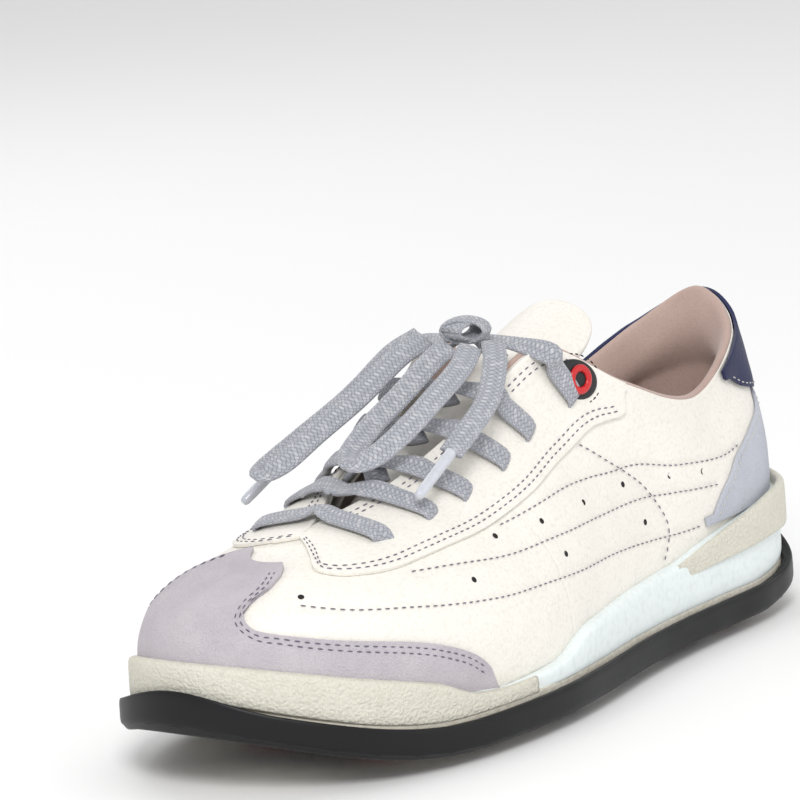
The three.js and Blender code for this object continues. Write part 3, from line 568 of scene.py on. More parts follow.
@dataclass(frozen=True)
class Finish:
    """A grained finish: leather, suede, moulded rubber or coated metal."""

    name: str
    colour: Colour
    shade: Colour
    roughness: float = 0.6
    cell: float = 900.0
    pores: float = 0.3
    folds: float = 0.4
    bump: float = 0.25
    bump_distance: float = 0.0003
    metallic: float = 0.0
    coat: float = 0.0
    sheen: float = 0.0
    specular: float = 0.5
    wear: float = 0.0
    wear_colour: Colour = (235, 235, 235)
    dust: float = 0.0
    patch: float = 28.0

    def make(self) -> bpy.types.Material:
        """Builds the material.

        Returns:
            The material, which reads the piece's own Object coordinates.
        """
        material = bpy.data.materials.new(self.name)
        material.use_nodes = True
        tree = material.node_tree
        tree.nodes.clear()
        n = Nodes(tree)
        place = n.add("TexCoord").outputs["Object"]
        grain = n.add("Group", node_tree=EFFECTS.grain)
        soil = n.add("Group", node_tree=EFFECTS.soil)
        wear = n.add("Group", node_tree=EFFECTS.wear)
        for node in (grain, soil, wear):
            tree.links.new(place, node.inputs["Vector"])
        grain.inputs["Cell"].default_value = self.cell
        grain.inputs["Pores"].default_value = self.pores
        grain.inputs["Folds"].default_value = self.folds
        soil.inputs["Patch"].default_value = self.patch
        colour = n.mix(soil.outputs["Tone"], linear(self.shade), linear(self.colour))
        # Painted shade: the colour is darkened in the hollows between the grain's cells.
        painted_recess_shade = tuple(0.72 * c for c in self.colour)
        colour = n.mix(n.math("MULTIPLY", grain.outputs["HollowShade"], 0.16), colour, linear(painted_recess_shade))
        if self.wear:
            colour = n.mix(n.math("MULTIPLY", wear.outputs["Mask"], self.wear), colour,
                           linear(self.wear_colour))
        if self.dust:
            colour = n.mix(n.math("MULTIPLY", soil.outputs["Dust"], self.dust), colour,
                           linear((176, 166, 146)))
        rough = n.math("ADD", self.roughness - 0.06, n.math("MULTIPLY", soil.outputs["Tone"], 0.12))
        bump = n.add("Bump", {"Strength": self.bump, "Distance": self.bump_distance,
                              "Height": grain.outputs["Height"]})
        shader = n.add("BsdfPrincipled", {
            "Base Color": colour, "Roughness": rough, "Metallic": self.metallic,
            "Normal": bump.outputs[0], "Coat Weight": self.coat, "Coat Roughness": 0.25,
            "Sheen Weight": self.sheen, "Sheen Roughness": 0.5, "Specular IOR Level": self.specular,
        })
        n.add("OutputMaterial", {"Surface": shader.outputs[0]})
        return material


@dataclass(frozen=True)
class BraidFinish:
    """A flat braided lace."""

    name: str
    colour: Colour
    second: Colour
    fleck: Colour
    pitch: float = 0.0016
    bump: float = 0.55

    def make(self) -> bpy.types.Material:
        """Builds the material, which reads the piece's own UV map in metres."""
        material = bpy.data.materials.new(self.name)
        material.use_nodes = True
        tree = material.node_tree
        tree.nodes.clear()
        n = Nodes(tree)
        uv = n.add("UVMap", uv_map="metres").outputs[0]
        braid = n.add("Group", node_tree=EFFECTS.braid)
        tree.links.new(uv, braid.inputs["UV"])
        braid.inputs["Pitch"].default_value = self.pitch
        colour = n.mix(braid.outputs["Strand"], linear(self.colour), linear(self.second))
        colour = n.mix(n.math("MULTIPLY", n.ramp(braid.outputs["Fleck"], 0.7, 0.8), 0.6), colour,
                       linear(self.fleck))
        # Painted shade: the low parts of the braid, between the strands, are darkened towards 45% of the
        # colour.
        painted_recess_shade = n.math("SUBTRACT", 1.0, braid.outputs["Height"])
        colour = n.mix(n.math("MULTIPLY", painted_recess_shade, 0.75, clamp=True), colour,
                       linear(tuple(0.45 * c for c in self.colour)))
        bump = n.add("Bump", {"Strength": self.bump, "Distance": 0.0003,
                              "Height": braid.outputs["Height"]})
        shader = n.add("BsdfPrincipled", {
            "Base Color": colour, "Roughness": 0.72, "Normal": bump.outputs[0],
            "Sheen Weight": 0.25, "Sheen Roughness": 0.4,
        })
        n.add("OutputMaterial", {"Surface": shader.outputs[0]})
        return material


class Look(Enum):
    """Every finish of the shoe."""

    LEATHER = Finish("white_tumbled_leather", (238, 234, 226), (233, 229, 221), 0.46, 900.0, 0.3,
                     0.7, 0.45, 0.0003, specular=0.42)
    TOE_SUEDE = Finish("toe_suede", (213, 206, 212), (199, 192, 200), 0.93, 1500.0, 1.4, 0.8, 0.8,
                       0.0005, sheen=0.2, specular=0.15, patch=70.0)
    HEEL_SUEDE = Finish("heel_suede", (212, 215, 225), (198, 202, 214), 0.92, 1500.0, 1.4, 0.8, 0.8,
                        0.0005, sheen=0.2, specular=0.15, patch=70.0)
    NAVY = Finish("navy_leather", (30, 37, 82), (22, 27, 64), 0.5, 900.0, 0.5, 0.5, 0.4, 0.0003,
                  specular=0.4)
    LINING = Finish("collar_lining", (192, 168, 158), (176, 150, 140), 0.85, 1500.0, 0.8, 0.5, 0.35,
                    0.0003, sheen=0.3, specular=0.25)
    TEXTILE = Finish("inner_textile", (196, 190, 182), (176, 170, 162), 0.92, 1800.0, 0.8, 0.3, 0.4,
                     0.0003, sheen=0.2, specular=0.2)
    FOXING = Finish("pebbled_foxing", (232, 229, 215), (226, 222, 208), 0.7, 1000.0, 0.6, 0.2, 0.9,
                    0.0007, specular=0.35, dust=0.12, patch=36.0)
    MIDSOLE = Finish("smooth_midsole", (230, 238, 237), (226, 234, 234), 0.45, 500.0, 0.1, 0.2, 0.05,
                     0.0001, specular=0.4, dust=0.08)
    OUTSOLE = Finish("lugged_rubber", (223, 219, 206), (208, 203, 189), 0.72, 1000.0, 0.6, 0.3, 0.6,
                     0.0004, specular=0.35, dust=0.5, wear=0.3)
    HARNESS = Finish("black_rubber", (13, 13, 15), (15, 15, 18), 0.45, 900.0, 0.2, 0.0, 0.05, 0.0001,
                     specular=0.3)
    STUD_RED = Finish("red_stud", (205, 18, 24), (188, 14, 20), 0.34, 700.0, 0.2, 0.3, 0.08, 0.0002,
                      coat=0.2, wear=0.25, wear_colour=(220, 80, 78))
    BLACK = Finish("black_trim", (17, 17, 20), (25, 25, 28), 0.5, 900.0, 0.4, 0.4, 0.3, 0.0002)
    THREAD = Finish("grey_thread", (112, 107, 124), (92, 88, 104), 0.75, 3800.0, 0.6, 0.2, 0.4, 0.0001)
    DARK_THREAD = Finish("dark_thread", (30, 28, 34), (22, 20, 26), 0.75, 3800.0, 0.6, 0.2, 0.4,
                         0.0001)
    PALE_THREAD = Finish("pale_thread", (214, 212, 206), (198, 196, 190), 0.75, 3800.0, 0.6, 0.2,
                         0.4, 0.0001)
    # Painted shade: the near-black finish of the hole discs stands for the shadow inside the punched holes.
    PAINTED_HOLE_SHADE = Finish("painted_hole_shade", (38, 34, 36), (26, 23, 25), 0.95, 2000.0, 0.4, 0.2, 0.2, 0.0001)
    BOARD = Finish("fibre_board", (178, 152, 112), (160, 134, 96), 0.9, 1600.0, 0.8, 0.3, 0.3, 0.0002)
    STEEL = Finish("shank_steel", (150, 152, 156), (138, 140, 146), 0.36, 500.0, 0.2, 0.2, 0.05,
                   0.0001, metallic=1.0)
    AGLET = Finish("clear_aglet", (198, 200, 208), (184, 187, 196), 0.25, 600.0, 0.2, 0.2, 0.05,
                   0.0001, coat=0.5)
    LACE = BraidFinish("grey_braid", (163, 165, 173), (176, 178, 186), (198, 199, 204))


MATERIALS: dict[Look, bpy.types.Material] = {look: look.value.make() for look in Look}


# ---------------------------------------------------------------- stitching
@dataclass(frozen=True)
class Seam:
    """A row of stitches on the upper, as a smooth line through (r, t) points."""

    route: tuple[tuple[float, float], ...]
    thread: Look = Look.THREAD
    depth: float = 0.15
    pitch: float = 3.0
    length: float = 1.95
    width: float = 0.5

    def line(self, spacing: float = 0.8) -> np.ndarray:
        """The seam as millimetre points at a spacing."""
        knots = np.array(self.route, float)
        places = np.linspace(0, len(knots) - 1, 40 * len(knots))
        route = catmull(knots, places, False)
        return resample(SHAPE.raised(route[:, 0], route[:, 1], self.depth), spacing)


def stitch_rows(name: str, lines: Sequence[tuple[np.ndarray, np.ndarray]], look: Look,
                length: float, width: float) -> bpy.types.Object:
    """Stitches laid end to end along lines.

    Args:
        name: the piece's name.
        lines: millimetre points at the pitch and the surface normals there.
        look: the thread's finish.
        length: of one stitch in millimetres.
        width: of the thread in millimetres.
    Returns:
        The piece.
    """
    bm = bmesh.new()
    for points, normals in lines:
        for k in range(len(points) - 1):
            centre = (points[k] + points[k + 1]) / 2
            along = Vector(points[k + 1] - points[k]).normalized()
            up = Vector(normals[k])
            side = up.cross(along).normalized()
            up = along.cross(side)
            turn = Matrix((along, side, up)).transposed().to_4x4()
            size = Matrix.Diagonal((length / 2 * MM, width / 2 * MM, width / 2.4 * MM, 1.0))
            place = Matrix.Translation(Vector(SHAPE.place(centre)))
            bmesh.ops.create_uvsphere(bm, u_segments=6, v_segments=4, radius=1.0,
                                      matrix=place @ turn @ size)
    return finish_piece(mesh_object(name, bm), SHOE, MATERIALS[look])


def seam_rows(name: str, seams: Sequence[Seam]) -> bpy.types.Object:
    """Sews several seams of one thread."""
    first = seams[0]
    lines = []
    for seam in seams:
        knots = np.array(seam.route, float)
        route = catmull(knots, np.linspace(0, len(knots) - 1, 60 * len(knots)), False)
        points = SHAPE.raised(route[:, 0], route[:, 1], seam.depth)
        steps = np.r_[0, np.cumsum(np.linalg.norm(np.diff(points, axis=0), axis=-1))]
        at = np.linspace(0, steps[-1], max(2, int(steps[-1] / seam.pitch)))
        rs, ts = np.interp(at, steps, route[:, 0]), np.interp(at, steps, route[:, 1])
        lines.append((SHAPE.raised(rs, ts, seam.depth), SHAPE.normal(rs, ts)))
    return stitch_rows(name, lines, first.thread, first.length, first.width)


# ---------------------------------------------------------------- the upper
@dataclass
class Upper:
    """Leather, suede and trim panels of the upper, their stitching, and dark discs of painted shade where
    their punched holes are.
    """

    leather: float = 1.3
    overlay_top: float = 1.45
    overlay: float = 1.25
    vamp_end: float = 5.6
    cap_end: float = 4.0
    stay_lateral: float = 1.7
    stay_medial: float = 2.3
    stay_end: float = 8.95
    counter_front: float = 9.0
    tab_front: float = 10.45

    @staticmethod
    def cap_warp(r: np.ndarray, t: np.ndarray) -> np.ndarray:
        """Ring coordinate of the toe cap's points, which fan out towards the top."""
        return r * (1 + np.where(r > 0, 3.0, 1.2) * np.maximum(0, t - 0.42))

    @staticmethod
    def stay_warp(r: np.ndarray, t: np.ndarray) -> np.ndarray:
        """Ring coordinate of the eyestay's points, drawn back at the middle of its front."""
        near = np.clip((4.2 - np.abs(r)) / 2.2, 0, 1)
        return r + np.where(r > 0, 0.6, 0.0) * near * np.clip((t - 0.72) / 0.28, 0, 1)

    def panel(self, name: str, spans: Sequence[tuple[float, float]], low: Curve, high: Curve,
              depth: float, thickness: float, cells: tuple[int, int], look: Look,
              nodes: Sequence[str] = (), bevel: float = 0.45,
              lines: Sequence[np.ndarray] = (), pad: float = 0.0,
              warp: Warp | None = None) -> bpy.types.Object:
        """A panel of the upper between two height curves.

        Args:
            name: the piece's name.
            spans: first and last ring coordinate of each of its parts.
            low: height coordinate of its lower edge.
            high: height coordinate of its upper edge.
            depth: how far its outer face stands off the surface, in millimetres.
            thickness: in millimetres.
            cells: faces along and across.
            look: its finish.
            nodes: the frame nodes that it stands for.
            bevel: width of its rounded edge.
            lines: seams that draw it in.
            pad: extra height at the middle of its width.
            warp: moves the ring coordinate with the height coordinate.
        Returns:
            The piece.
        """
        def surface(span: tuple[float, float], a: np.ndarray, b: np.ndarray) -> np.ndarray:
            r = span[0] + (span[1] - span[0]) * a
            t = low(r) + (high(r) - low(r)) * b
            r = warp(r, t) if warp else r
            base = SHAPE.upper(r, t)
            lift = depth + pad * np.clip(np.sin(math.pi * b), 0, 1) ** 0.5
            if lines:
                lift = lift - groove(base, lines, 0.45, 1.5)
            ripple = 0.12 * np.sin(base[..., 0] * 0.31 + 2.0 * np.sin(base[..., 2] * 0.13))
            lift = lift + ripple * np.sin(base[..., 2] * 0.27 + 1.3 * np.sin(base[..., 0] * 0.09))
            return SHAPE.place(base + SHAPE.normal(r, t) * lift[..., None])

        bm = bmesh.new()
        for span in spans:
            part = mapped_grid(*cells, lambda a, b: surface(span, a, b))
            mesh = bpy.data.meshes.new("part")
            part.to_mesh(mesh)
            part.free()
            bm.from_mesh(mesh)
            bpy.data.meshes.remove(mesh)
        obj = mesh_object(name, bm)
        thicken(obj, thickness, bevel)
        return finish_piece(obj, SHOE, MATERIALS[look], nodes)

    def build(self) -> None:
        """Builds every panel, row of stitches and painted-shade hole disc."""
        self.make_leather()
        self.make_overlays()
        self.make_linings()
        self.make_stitching()
        self.make_holes()

    # Height coordinates of the panels' edges, shared by the panels and their stitching.
    cap_top: Curve = staticmethod(profile([
        (-4.0, -0.05), (-3.85, 0.03), (-3.5, 0.12), (-2.9, 0.2), (-2.3, 0.27), (-1.9, 0.34),
        (-1.7, 0.45), (-1.6, 0.7), (-1.4, 0.84), (0, 0.86), (0.5, 0.84), (0.66, 0.7),
        (0.74, 0.45), (0.82, 0.35), (1.0, 0.3), (1.5, 0.268), (2.15, 0.232), (2.9, 0.18),
        (3.5, 0.11), (3.85, 0.03), (4.0, -0.05)]))
    cap_low: Curve = staticmethod(both(profile([
        (0, 0.14), (1.6, 0.08), (2.6, 0.0), (3.2, -0.06), (4.0, -0.065)])))
    stay_edge: Curve = staticmethod(profile([
        (-8.95, 0.96), (-8.75, 0.78), (-8.4, 0.66), (-8.0, 0.6), (-6.9, 0.565), (-4.2, 0.56),
        (-3.4, 0.6), (-2.85, 0.68), (-2.5, 0.78), (-2.35, 0.9), (0, 1), (1.7, 0.9),
        (1.78, 0.78), (2.0, 0.68), (2.4, 0.6), (3.15, 0.55), (4.2, 0.56), (6.9, 0.565),
        (8.0, 0.6), (8.4, 0.66), (8.75, 0.78), (8.95, 0.96)]))
    counter_top: Curve = staticmethod(both(profile([
        (9.0, 0.04), (9.3, 0.14), (9.7, 0.28), (10.1, 0.42), (10.5, 0.5), (11, 0.56), (12, 0.74)])))
    tab_low: Curve = staticmethod(both(profile([
        (10.45, 0.93), (10.7, 0.76), (11, 0.64), (11.4, 0.58), (12, 0.66)])))

    def side_seams(self, sign: int) -> list[Seam]:
        """The decorative lines on one side of the quarter and vamp."""
        def on(route: Sequence[tuple[float, float]]) -> tuple[tuple[float, float], ...]:
            return tuple((r if sign > 0 else RING - r, t) for r, t in route)
        return [
            Seam(on([(5.2, 0.54), (6.25, 0.49), (7.1, 0.43), (7.8, 0.39), (8.85, 0.42), (9.65, 0.46),
                     (10.25, 0.48)])),
            Seam(on([(3.25, 0.51), (4.4, 0.44), (5.55, 0.37), (6.9, 0.28), (8.15, 0.25), (8.85, 0.26),
                     (9.5, 0.26)])),
            Seam(on([(1.5, 0.46), (2.2, 0.39), (2.9, 0.34), (3.5, 0.3), (4.3, 0.26), (5.1, 0.23),
                     (6.0, 0.17), (6.85, 0.13), (8.2, 0.08), (8.9, 0.07)])),
            Seam(on([(7.4, 0.56), (7.65, 0.45), (7.85, 0.38), (8.05, 0.31), (8.15, 0.24), (8.25, 0.13),
                     (8.15, 0.05), (8.0, 0.0)])),
        ]

    def make_leather(self) -> None:
        """Builds the vamp and the two quarters."""
        zero, one = (lambda r: 0 * r - 0.07), (lambda r: 0 * r + 1)
        lines = [s.line() for sign in (1, -1) for s in self.side_seams(sign)]
        self.panel("vamp_leather", [(-self.vamp_end, self.vamp_end)], zero, one, 0.0, self.leather,
                   (150, 50), Look.LEATHER, ["vamp"], lines=lines)
        for side, span in (("lateral", (self.vamp_end - 0.02, HEEL)),
                           ("medial", (HEEL, RING - self.vamp_end + 0.02))):
            self.panel(f"quarter_leather_{side}", [span], zero, one, 0.0, self.leather, (130, 60),
                       Look.LEATHER, [f"quarter_{side}"], lines=lines)

    def make_overlays(self) -> None:
        """Builds the toe cap, the eyestay, the heel counter and the heel tab."""
        top, thick = self.overlay_top, self.overlay
        self.panel("toe_cap_suede", [(-self.cap_end, self.cap_end)], self.cap_low,
                   lambda r: np.maximum(self.cap_top(r), self.cap_low(r) + 0.01), top, thick,
                   (220, 26), Look.TOE_SUEDE, ["toe_cap"], warp=self.cap_warp)
        self.panel("eyestay_leather",
                   [(-self.stay_end, -self.stay_medial), (self.stay_lateral, self.stay_end)],
                   self.stay_edge, lambda r: 0 * r + 1, top, thick, (150, 20), Look.LEATHER,
                   ["eyestay"], warp=self.stay_warp)
        self.panel("heel_counter_suede", [(self.counter_front, RING - self.counter_front)],
                   lambda r: 0 * r + 0.06, lambda r: np.maximum(self.counter_top(r), 0.1), top, thick,
                   (90, 26), Look.HEEL_SUEDE, ["heel_counter_overlay"])
        self.panel("heel_tab_navy", [(self.tab_front, RING - self.tab_front)], self.tab_low,
                   lambda r: 0 * r + 1, top + 0.25, thick, (48, 16), Look.NAVY,
                   ["heel_tab"], pad=0.5)

    def make_linings(self) -> None:
        """Builds the padded collar lining."""
        band = 0.62
        fade = both(profile([(8.0, 0), (8.8, 1), (12, 0.8)]))

        def swell(r: np.ndarray, t: np.ndarray) -> np.ndarray:
            """How far the collar's padding stands inwards."""
            height = np.sin(math.pi * np.clip((t - band) / (1 - band), 0, 1))
            return 5 * height * fade(r)

        def collar(a: np.ndarray, b: np.ndarray) -> np.ndarray:
            r = 7.25 + (RING - 14.5) * a
            t = np.minimum(0.06 + 0.94 * np.minimum(b / 0.86, 1), 1.0)
            roll = np.clip((b - 0.86) / 0.14, 0, 1)
            depth = -3.9 - swell(r, t)
            depth = depth * (1 - roll) - 0.4 * roll
            p = SHAPE.raised(r, t, depth)
            p[..., 2] += 1.3 * np.sin(math.pi * roll)
            return SHAPE.place(p)

        lining = mesh_object("collar_lining_padded", mapped_grid(110, 44, collar))
        thicken(lining, -0.8, 0.0)
        finish_piece(lining, SHOE, MATERIALS[Look.LINING],
                     ["collar_lining", "collar_foam"])

    @staticmethod
    def warped_seam(route: Sequence[tuple[float, float]], sign: int, warp: Warp,
                    depth: float) -> Seam:
        """A seam through points of the lateral side, on either side and moved as its panel is."""
        rs, ts = sign * np.array([r for r, _ in route]), np.array([t for _, t in route])
        return Seam(tuple(zip(warp(rs, ts).tolist(), ts.tolist())), depth=depth)

    def eyestay_seams(self) -> list[Seam]:
        """The double seams along the outer edge of the eyestay and along the throat."""
        edge = [2.0, 2.2, 2.4, 2.8, 3.2, 3.7, 4.5, 5.3, 6.1, 6.9, 7.5, 8.0, 8.35, 8.6]
        throat = [r / 4 for r in range(14, 34)]
        seams = []
        for sign, first in ((1, self.stay_lateral), (-1, self.stay_medial)):
            for inset, shift in ((0.09, 0.03), (0.2, 0.06)):
                front = [(first + inset, 0.975), (first + 0.03 + inset, 0.85)]
                route = front + [(r, float(self.stay_edge(np.array(sign * r))) + shift)
                                 for r in edge if r > first + 0.2]
                seams.append(self.warped_seam(route, sign, self.stay_warp, 1.6))
        for sign in (1, -1):
            seams += [Seam(tuple((sign * r, t) for r in throat), depth=1.6) for t in (0.955, 0.925)]
        return seams

    def cap_seams(self) -> list[Seam]:
        """The double seam along the edge of the toe cap."""
        seams = []
        for inset, shift in ((0.05, 0.022), (0.11, 0.045)):
            lateral = [(0.6 - inset, 0.74), (0.7 - inset, 0.6), (0.735 - inset, 0.47),
                       (0.79 - inset, 0.365 - 0.5 * shift), (0.97, 0.3 - shift),
                       (1.25, 0.284 - shift)]
            medial = [(1.52 - inset, 0.74), (1.6 - inset, 0.6), (1.66 - inset, 0.47),
                      (1.84 - inset, 0.355 - 0.5 * shift)]
            wings = [2.3, 2.7, 3.1, 3.5, 3.75]
            for sign, front, edge in ((1, lateral, [1.5, 1.9, *wings]), (-1, medial, wings)):
                route = front + [(r, float(self.cap_top(np.array(sign * r))) - shift) for r in edge]
                seams.append(self.warped_seam(route, sign, self.cap_warp, 1.55))
        return seams

    def heel_seams(self) -> list[Seam]:
        """The seams along the top of the heel counter and along the foot of the heel tab."""
        steps = np.arange(21)
        counter, tab = 9.25 + 0.275 * steps, 10.55 + 0.145 * steps
        return [Seam(tuple(zip(rs.tolist(), ts.tolist())), Look.PALE_THREAD, depth=depth)
                for rs, ts, depth in ((counter, self.counter_top(counter) - 0.035, 1.6),
                                      (tab, self.tab_low(tab) + 0.025, 2.1))]

    def make_stitching(self) -> None:
        """Sews the seams along the edges and across the sides."""
        seam_rows("stitches_sides", [s for sign in (1, -1) for s in self.side_seams(sign)])
        seam_rows("stitches_eyestay", self.eyestay_seams())
        seam_rows("stitches_toe_cap", self.cap_seams())
        seam_rows("stitches_heel", self.heel_seams())

    def make_holes(self) -> None:
        """Lays two rows of small dark discs on each side, painted shade standing in for the punched holes."""
        rows = (((5.0, 0.51), (5.8, 0.44), (6.75, 0.365), (7.7, 0.33), (8.7, 0.35), (9.35, 0.37)),
                ((1.55, 0.52), (2.4, 0.46), (3.25, 0.41), (4.05, 0.37), (4.95, 0.33), (5.85, 0.265),
                 (6.9, 0.2), (7.8, 0.165)))
        bm = bmesh.new()
        for row in rows:
            for r, t in row:
                for ring in (r, RING - r):
                    self.punch(bm, ring, t, 1.05, 0.05)
        finish_piece(mesh_object("hole_shade_discs", bm), SHOE, MATERIALS[Look.PAINTED_HOLE_SHADE])

    @staticmethod
    def punch(bm: bmesh.types.BMesh, r: float, t: float, radius: float, depth: float) -> None:
        """Lays one small dished disc on the surface; its dark finish is painted shade for the depth of the
        hole.
        """
        rr, tt = np.array([r]), np.array([t])
        place = SHAPE.place(SHAPE.raised(rr, tt, depth))[0]
        up = Vector(SHAPE.normal(rr, tt)[0])
        turn = up.to_track_quat("Z", "Y").to_matrix().to_4x4()
        disc = bmesh.ops.create_circle(bm, cap_ends=True, segments=12, radius=radius * MM,
                                       matrix=Matrix.Translation(Vector(place)) @ turn)
        face = disc["verts"][0].link_faces[0]
        bmesh.ops.inset_region(bm, faces=[face], thickness=0.25 * MM, depth=-0.02 * MM)


# ---------------------------------------------------------------- the sole
@dataclass
class Sole:
    """Foxing, midsole, heel stabiliser and lugged outsole."""

    lug_depth: float = 2.6
    base: float = 3.4
    gap: float = 0.4
    wall: float = 4.6
    foxing_end: float = 4.2
    stabiliser_start: float = 8.1
    lug_start: float = 17.0
    lug_inset: float = 0.6
    middle_span: tuple[float, float] = (45.0, 240.0)
    middle_y: float = -3.0
    pitch: tuple[float, float] = (29.0, 17.0)
    leaf: tuple[float, float] = (25.0, 10.0)
    dot: float = 6.6
    lean: float = -0.62
    midsole_wall: Curve = staticmethod(both(profile([
        (0, 1), (3.2, 1), (4.1, -5.4), (5, -5.6), (5.9, -0.6), (8.1, -1.6), (8.7, 0.4), (10.8, 5), (12, 6)])))
    foxing_wall: Curve = staticmethod(both(profile([
        (0, 13), (1.5, 10.5), (3, 3), (3.6, -3.6), (4.2, -5.2)])))
    midsole_side: Curve = staticmethod(both(profile([
        (0, 1.2), (3.8, 1.2), (5, 4.6), (12, 4.6)])))
    stabiliser_top: Curve = staticmethod(both(profile([
        (8.1, -1.7), (8.7, 0.6), (10.8, 8), (12, 9)])))
    stabiliser_out: Curve = staticmethod(both(profile([
        (8.1, -0.4), (8.7, 0.8), (9.6, 1.8), (12, 2.2)])))

    def flare(self, r: np.ndarray) -> np.ndarray:
        """How far the upper stands out at the height of the midsole's wall."""
        z = SHAPE.foot(r)[..., 2] + self.midsole_wall(r)
        low, high = np.zeros_like(z), np.ones_like(z)
        for _ in range(18):
            middle = (low + high) / 2
            under = SHAPE.upper(r, middle)[..., 2] < z
            low, high = np.where(under, middle, low), np.where(under, high, middle)
        gap = ((SHAPE.upper(r, low) - SHAPE.foot(r)) * SHAPE.outward(r)).sum(-1)
        return np.maximum(0, gap)

    def side(self, r: np.ndarray, out: np.ndarray, z: np.ndarray) -> np.ndarray:
        """Millimetre points beside the foot's edge at heights z."""
        p = SHAPE.foot(r) + SHAPE.outward(r) * out[..., None]
        return np.concatenate([p[..., :2], np.broadcast_to(z, r.shape)[..., None]], -1)

    def under(self, r: np.ndarray) -> np.ndarray:
        """Height of the lug faces below the outer side of the walls."""
        p = SHAPE.foot(r) + SHAPE.outward(r) * (self.wall + 1)
        return SHAPE.sole_bottom(p[..., 0])

    def ring_wall(self, name: str, span: tuple[float, float], rows: Sequence[tuple[float, float]],
                  inner: Curve, outer: Curve, low: Curve, high: Curve, columns: int, look: Look,
                  nodes: Sequence[str]) -> bpy.types.Object:
        """A wall round the sole with a rounded section.

        Args:
            name: the piece's name.
            span: first and last ring coordinate.
            rows: its section as (share outwards, share upwards) points, closed on itself.
            inner: distance out of its inner face.
            outer: distance out of its outer face.
            low: height of its lower edge.
            high: height of its upper edge.
            columns: faces along it.
            look: its finish.
            nodes: the frame nodes that it stands for.
        Returns:
            The piece.
        """
        section = np.array(rows, float)

        def surface(a: np.ndarray, b: np.ndarray) -> np.ndarray:
            r = span[0] + (span[1] - span[0]) * a
            s = catmull(section, np.mod(b, 1.0) * len(section), True)
            out = inner(r) + (outer(r) - inner(r)) * s[..., 0]
            z = low(r) + (high(r) - low(r)) * s[..., 1]
            return SHAPE.place(self.side(r, out, z))

        bm = mapped_grid(columns, 4 * len(section), surface)
        open_edges = [e for e in bm.edges if e.is_boundary]
        if open_edges:
            bmesh.ops.holes_fill(bm, edges=open_edges)
        bmesh.ops.recalc_face_normals(bm, faces=bm.faces)
        return finish_piece(mesh_object(name, bm), SHOE, MATERIALS[look], nodes)

    def build(self) -> None:
        """Builds the walls, the outsole and its lugs."""
        section = [(0.0, 0.0), (0.5, 0.0), (0.9, 0.0), (1.0, 0.12), (1.0, 0.4), (0.98, 0.7),
                   (0.9, 0.93), (0.6, 1.0), (0.2, 1.0), (0.0, 0.9), (0.0, 0.5)]

        def foot_z(r: np.ndarray) -> np.ndarray:
            """Height of the edge of the upper."""
            return SHAPE.foot(r)[..., 2]

        def mid_bottom(r: np.ndarray) -> np.ndarray:
            """Height of the lower edge of the walls."""
            return self.under(r) + self.lug_depth + self.base + 0.1

        self.ring_wall("foxing_wall", (RING - self.foxing_end - 0.3, RING + self.foxing_end + 0.3),
                       section, lambda r: np.minimum(np.maximum(self.midsole_side(r) - 0.4, 0.4), 4.0),
                       lambda r: self.wall + 0.3 + 0 * r, mid_bottom,
                       lambda r: foot_z(r) + self.foxing_wall(r), 200, Look.FOXING,
                       ["toe_foxing"])
        self.ring_wall("midsole_wall", (0.0, RING), section, lambda r: 0 * r - 0.4,
                       lambda r: self.midsole_side(r) + self.flare(r) * 0.6, mid_bottom,
                       lambda r: foot_z(r) + self.midsole_wall(r), 220, Look.MIDSOLE,
                       ["midsole"])
        self.ring_wall("stabiliser_wall", (self.stabiliser_start, RING - self.stabiliser_start),
                       section, lambda r: self.wall + self.flare(r) - 1.2,
                       lambda r: self.wall + self.flare(r) + self.stabiliser_out(r),
                       lambda r: foot_z(r) - 7.3, lambda r: foot_z(r) + self.stabiliser_top(r),
                       120, Look.FOXING, ["heel_stabiliser"])
        self.make_outsole()

    def inside(self, u: float, y: float, margin: float) -> bool:
        """Whether a place on the sole lies in the foot's outline by a margin."""
        rings = np.linspace(0, HEEL, 121)
        lateral, medial = SHAPE.foot(rings), SHAPE.foot(RING - rings)
        side_l = lateral[np.abs(lateral[:, 0] - u).argmin(), 1]
        side_m = medial[np.abs(medial[:, 0] - u).argmin(), 1]
        return margin < u < FOOT_LENGTH - margin and side_l + margin < y < side_m - margin

    def lug(self, bm: bmesh.types.BMesh, u: float, y: float, size: tuple[float, float], angle: float,
            pointed: float, height: float = 2.6) -> None:
        """Adds one lug with sloped sides and a rounded face to a flat-made mesh.

        Args:
            bm: the mesh, in millimetres, with the lug faces at height 0.
            u: its place along the sole.
            y: its place across.
            size: length and width.
            angle: turn about its middle.
            pointed: 1 for an ellipse, more for a leaf with sharp ends.
            height: how far it stands off the base.
        """
        made = bmesh.ops.create_circle(bm, cap_ends=True, segments=20, radius=1.0)
        verts = made["verts"]
        for v in verts:
            v.co.y = math.copysign(abs(v.co.y) ** pointed, v.co.y)
            v.co = Vector((v.co.x * size[0] / 2, v.co.y * size[1] / 2, height + 0.6))
        face = verts[0].link_faces[0]
        grown = bmesh.ops.extrude_face_region(bm, geom=[face])
        tips = [g for g in grown["geom"] if isinstance(g, bmesh.types.BMVert)]
        for v in tips:
            v.co = Vector((v.co.x * 0.9, v.co.y * 0.82, 0.0))
        edges = [g for g in grown["geom"] if isinstance(g, bmesh.types.BMEdge)]
        bmesh.ops.bevel(bm, geom=edges, offset=0.55, segments=2, profile=0.5, affect="EDGES",
                        material=-1)
        turn = Matrix.Translation((u, y, 0)) @ Matrix.Rotation(angle, 4, "Z")
        mine = {w for v in tips if v.is_valid for w in self.island(v)}
        for v in mine:
            v.co = turn @ v.co

    @staticmethod
    def island(start: bmesh.types.BMVert) -> set[bmesh.types.BMVert]:
        """Every vertex joined to one."""
        seen, todo = {start}, [start]
        while todo:
            for edge in todo.pop().link_edges:
                for v in edge.verts:
                    if v not in seen:
                        seen.add(v)
                        todo.append(v)
        return seen

